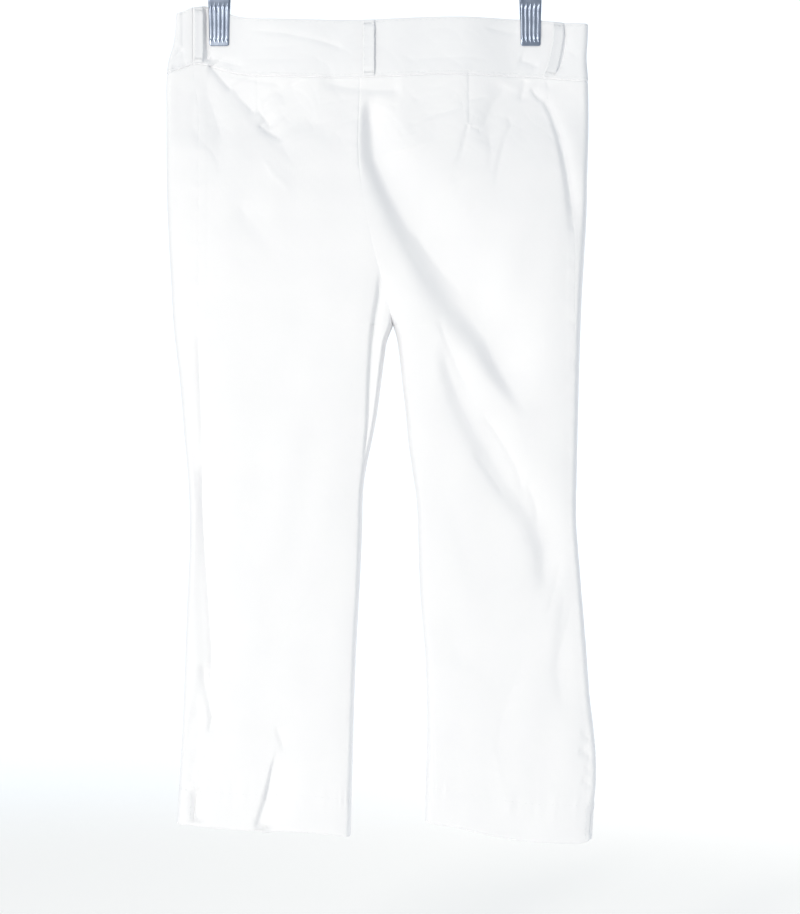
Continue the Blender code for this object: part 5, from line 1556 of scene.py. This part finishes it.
# %% Jaws
JAW_STEEL, RIB_HEIGHT, RIBS = 1.2 * MM, 0.62 * MM, 5
JAW_WIDTH_TOP, JAW_WIDTH_TIP, LIP = 23.0 * MM, 19.5 * MM, 3.0 * MM
TIP_CORNER, TAB_CORNER, EDGE_WEAR = 2.2 * MM, 4.0 * MM, (0.4 * MM, 0.9 * MM)
RIB_FROM, RIB_POINT, RIB_SLOPE = 92 * MM, 6 * MM, 0.55
LIP_WEAR, LIP_REACH = 0.35 * MM, 1.0 * MM
BAR_DROP, BAR_RADIUS = 80 * MM, 2.0 * MM
CLIPS = dict(zip(("left", "right"), CLIP_ACROSS))
JAW_PATH = {
    "drop":   (60, 67, 74, 80, 86, 91, 96, 101, 118, 134.5),
    "inside": (11.4, 7.9, 5.3, 4.9, 4.9, 4.2, 2.95, 2.65, 2.65, 2.65),
}
JAW_TOP = JAW_PATH["drop"][0] * MM
FROM_TOP = np.array((0, 0.3, 0.8, 1.6, 2.6, 4)) * MM
FROM_TIP = np.array((7, 6.2, 5.5, 4.8, 4.2, 3.6, 3, 2.4, 1.8, 1.2, 0.7, 0.35, 0.1, 0)) * MM
JAW_ROWS = np.concatenate((JAW_TOP + FROM_TOP, np.linspace(JAW_TOP + 6 * MM, JAW_TIP_DROP - 8 * MM, 44),
                           JAW_TIP_DROP - FROM_TIP))


def corner_cut(distance, radius):
    """How much a quarter circle takes off both sides together, this far from the end."""
    inner = radius - np.clip(distance, 0, radius)
    return 2 * (radius - np.sqrt(radius**2 - inner**2))


def make_jaw(name, clip, side):
    """Across is the width times the spread, drawn in by a quarter circle at the tip's corners
    and at the tab's. A rib is a rounded ridge that narrows to a point at both ends."""
    drop, spread = JAW_ROWS[:, None], np.linspace(-0.5, 0.5, 61)[None, :]
    down = (drop - JAW_TOP) / (JAW_TIP_DROP - JAW_TOP)
    width = JAW_WIDTH_TOP + (JAW_WIDTH_TIP - JAW_WIDTH_TOP) * down
    width = width - corner_cut(JAW_TIP_DROP - drop, TIP_CORNER) - corner_cut(drop - JAW_TOP, TAB_CORNER)
    across = clip + width * spread
    near = smooth_through(JAW_PATH, "inside", drop) + 0 * spread
    run = np.clip(np.minimum(drop - RIB_FROM, JAW_TIP_DROP - LIP - drop) / RIB_POINT, 0, 1)
    phase = np.abs(np.mod(RIBS * (spread + 0.5), 1) - 0.5) * 2
    rib = RIB_HEIGHT * soft_step(np.clip(run - phase, 0, 1) / RIB_SLOPE) * (run > 0)
    lip = LIP_WEAR * soft_step((drop - (JAW_TIP_DROP - LIP_REACH)) / LIP_REACH)
    far = near + JAW_STEEL + rib - worn_down((0.5 - np.abs(spread)) * width, *EDGE_WEAR) - lip
    outer, inner = (np.stack((across, side * y, -drop + 0 * across), -1) for y in (far, near))
    return add_wall(f"steel_{name}", outer, inner, CLIP_STEEL, (name,), turned=side == BACK,
                    merge=1e-6)


jaw_pieces = [make_jaw(f"clip_{name}_{face}_jaw", clip, side) for name, clip in CLIPS.items()
              for face, side in (("back", BACK), ("front", FRONT))]
print("jaws:", len(jaw_pieces))

# %% [markdown]
# ## Springs, bar and hook
#
# The bar passes through both springs and through a collar at the foot of the hook. A spring
# is a circle carried along a helix. The hook is a circle carried along a stem, a swing to one
# side and an arc. The bar and the collar are profiles turned round the bar's axis.

# %% Springs
SPRING_WIRE, SPRING_RADIUS, SPRING_LENGTH, SPRING_TURNS = 0.6 * MM, 4.6 * MM, 17 * MM, 11


def make_spring(name, clip):
    """Helix: x grows evenly while y and z go round the bar, so neighbouring coils nearly touch."""
    turn = np.linspace(0, SPRING_TURNS, SPRING_TURNS * 36)
    out = np.stack((0 * turn, np.cos(2 * np.pi * turn), np.sin(2 * np.pi * turn)), -1)
    path = out * (SPRING_RADIUS - SPRING_WIRE) + np.array((clip, 0, -BAR_DROP))
    path[:, 0] += (turn / SPRING_TURNS - 0.5) * (SPRING_LENGTH - 2 * SPRING_WIRE)
    points, faces = tube(path, out, SPRING_WIRE, step=0.75 * MM, sides=10)
    return add_piece(f"wire_{name}", points, faces, SPRING_STEEL, (name,), merge=1e-7)


spring_pieces = [make_spring(f"clip_{name}_spring", clip) for name, clip in CLIPS.items()]
print("springs:", [len(piece.data.polygons) for piece in spring_pieces])

# %% Bar and hook
BAR_HALF, BEAD, BEAD_TURN, BAR_ROWS = 181 * MM, 3.6 * MM, np.radians(146), 90
HOOK_WIRE, HOOK_BEND, STEM_TOP, SWING = 1.9 * MM, 16 * MM, 50 * MM, 20 * MM
HOOK_START, HOOK_END, BORE_CLEAR = np.radians(-52), np.radians(212), 0.3 * MM
COLLAR_ALONG = np.array((-7, -7, -6.7, -6.2, 6.2, 6.7, 7, 7, -7)) * MM
COLLAR_ROUND = np.array((4.0, 4.4, 4.6, 4.6, 4.4, 4.0)) * MM


def turned_on_bar(along, radius, sides=40):
    """A profile turned round the bar's axis: y and z are the radius times sine and cosine."""
    angle = np.linspace(0, 2 * np.pi, sides, endpoint=False)
    along, radius = along[:, None], radius[:, None]
    return np.stack((along + 0 * angle, radius * np.sin(angle), radius * np.cos(angle) - BAR_DROP), -1)


def make_bar():
    """A straight bar with a round bead at each end."""
    angle = np.linspace(0, BEAD_TURN, 12)
    bead_x, bead_r = BAR_HALF - BEAD * (1 - np.cos(angle)), BEAD * np.sin(angle)
    straight = np.linspace(bead_x[-1] - 2 * MM, -bead_x[-1] + 2 * MM, BAR_ROWS)
    along = np.concatenate((bead_x, straight, -bead_x[::-1]))
    radius = np.concatenate((bead_r, np.full(BAR_ROWS, BAR_RADIUS), bead_r[::-1]))
    points = turned_on_bar(along, radius)
    return add_piece("steel_hanger_bar", points, round_cells(points), BAR_STEEL, ("hanger_bar",),
                     merge=1e-6)


def hook_path():
    """Stem, then a cubic swing whose ends keep their directions, then an arc round the rail."""
    radius = HOOK_BEND + HOOK_WIRE
    foot, top = np.array((0, -BAR_DROP + BAR_RADIUS + HOOK_WIRE)), np.array((0, -STEM_TOP))
    angle = np.linspace(HOOK_START, HOOK_END, 120)
    arc = np.stack((radius * np.cos(angle), radius * np.sin(angle) - HOOK_BEND), -1)
    leave = np.array((0, 1)) * SWING
    arrive = np.array((-np.sin(HOOK_START), np.cos(HOOK_START))) * SWING
    swing = cubic(np.linspace(0, 1, 40)[1:-1, None], top, leave, arc[0], arrive)
    flat = np.concatenate((foot[None], top[None], swing, arc))
    return np.stack((flat[:, 0], 0 * flat[:, 0], flat[:, 1]), -1)


def make_hook():
    """The wire as a tube, and its collar with a bore for the bar and rounded rims."""
    path = hook_path()
    guide = np.repeat(((0, 1.0, 0),), len(path), 0)
    wire, wire_faces = tube(path, guide, HOOK_WIRE, step=1.2 * MM, sides=20)
    bore = BAR_RADIUS + BORE_CLEAR
    collar = turned_on_bar(COLLAR_ALONG, np.concatenate(((bore,), COLLAR_ROUND, (bore, bore))))
    points = np.concatenate((wire, collar.reshape(-1, 3)))
    faces = np.concatenate((wire_faces, round_cells(collar)[:, ::-1] + len(wire)))
    return add_piece("steel_hanger_hook", points, faces, HOOK_STEEL, ("hanger_hook",), merge=1e-6)


bar_piece, hook_piece = make_bar(), make_hook()
print("bar and hook:", len(bar_piece.data.polygons), len(hook_piece.data.polygons))
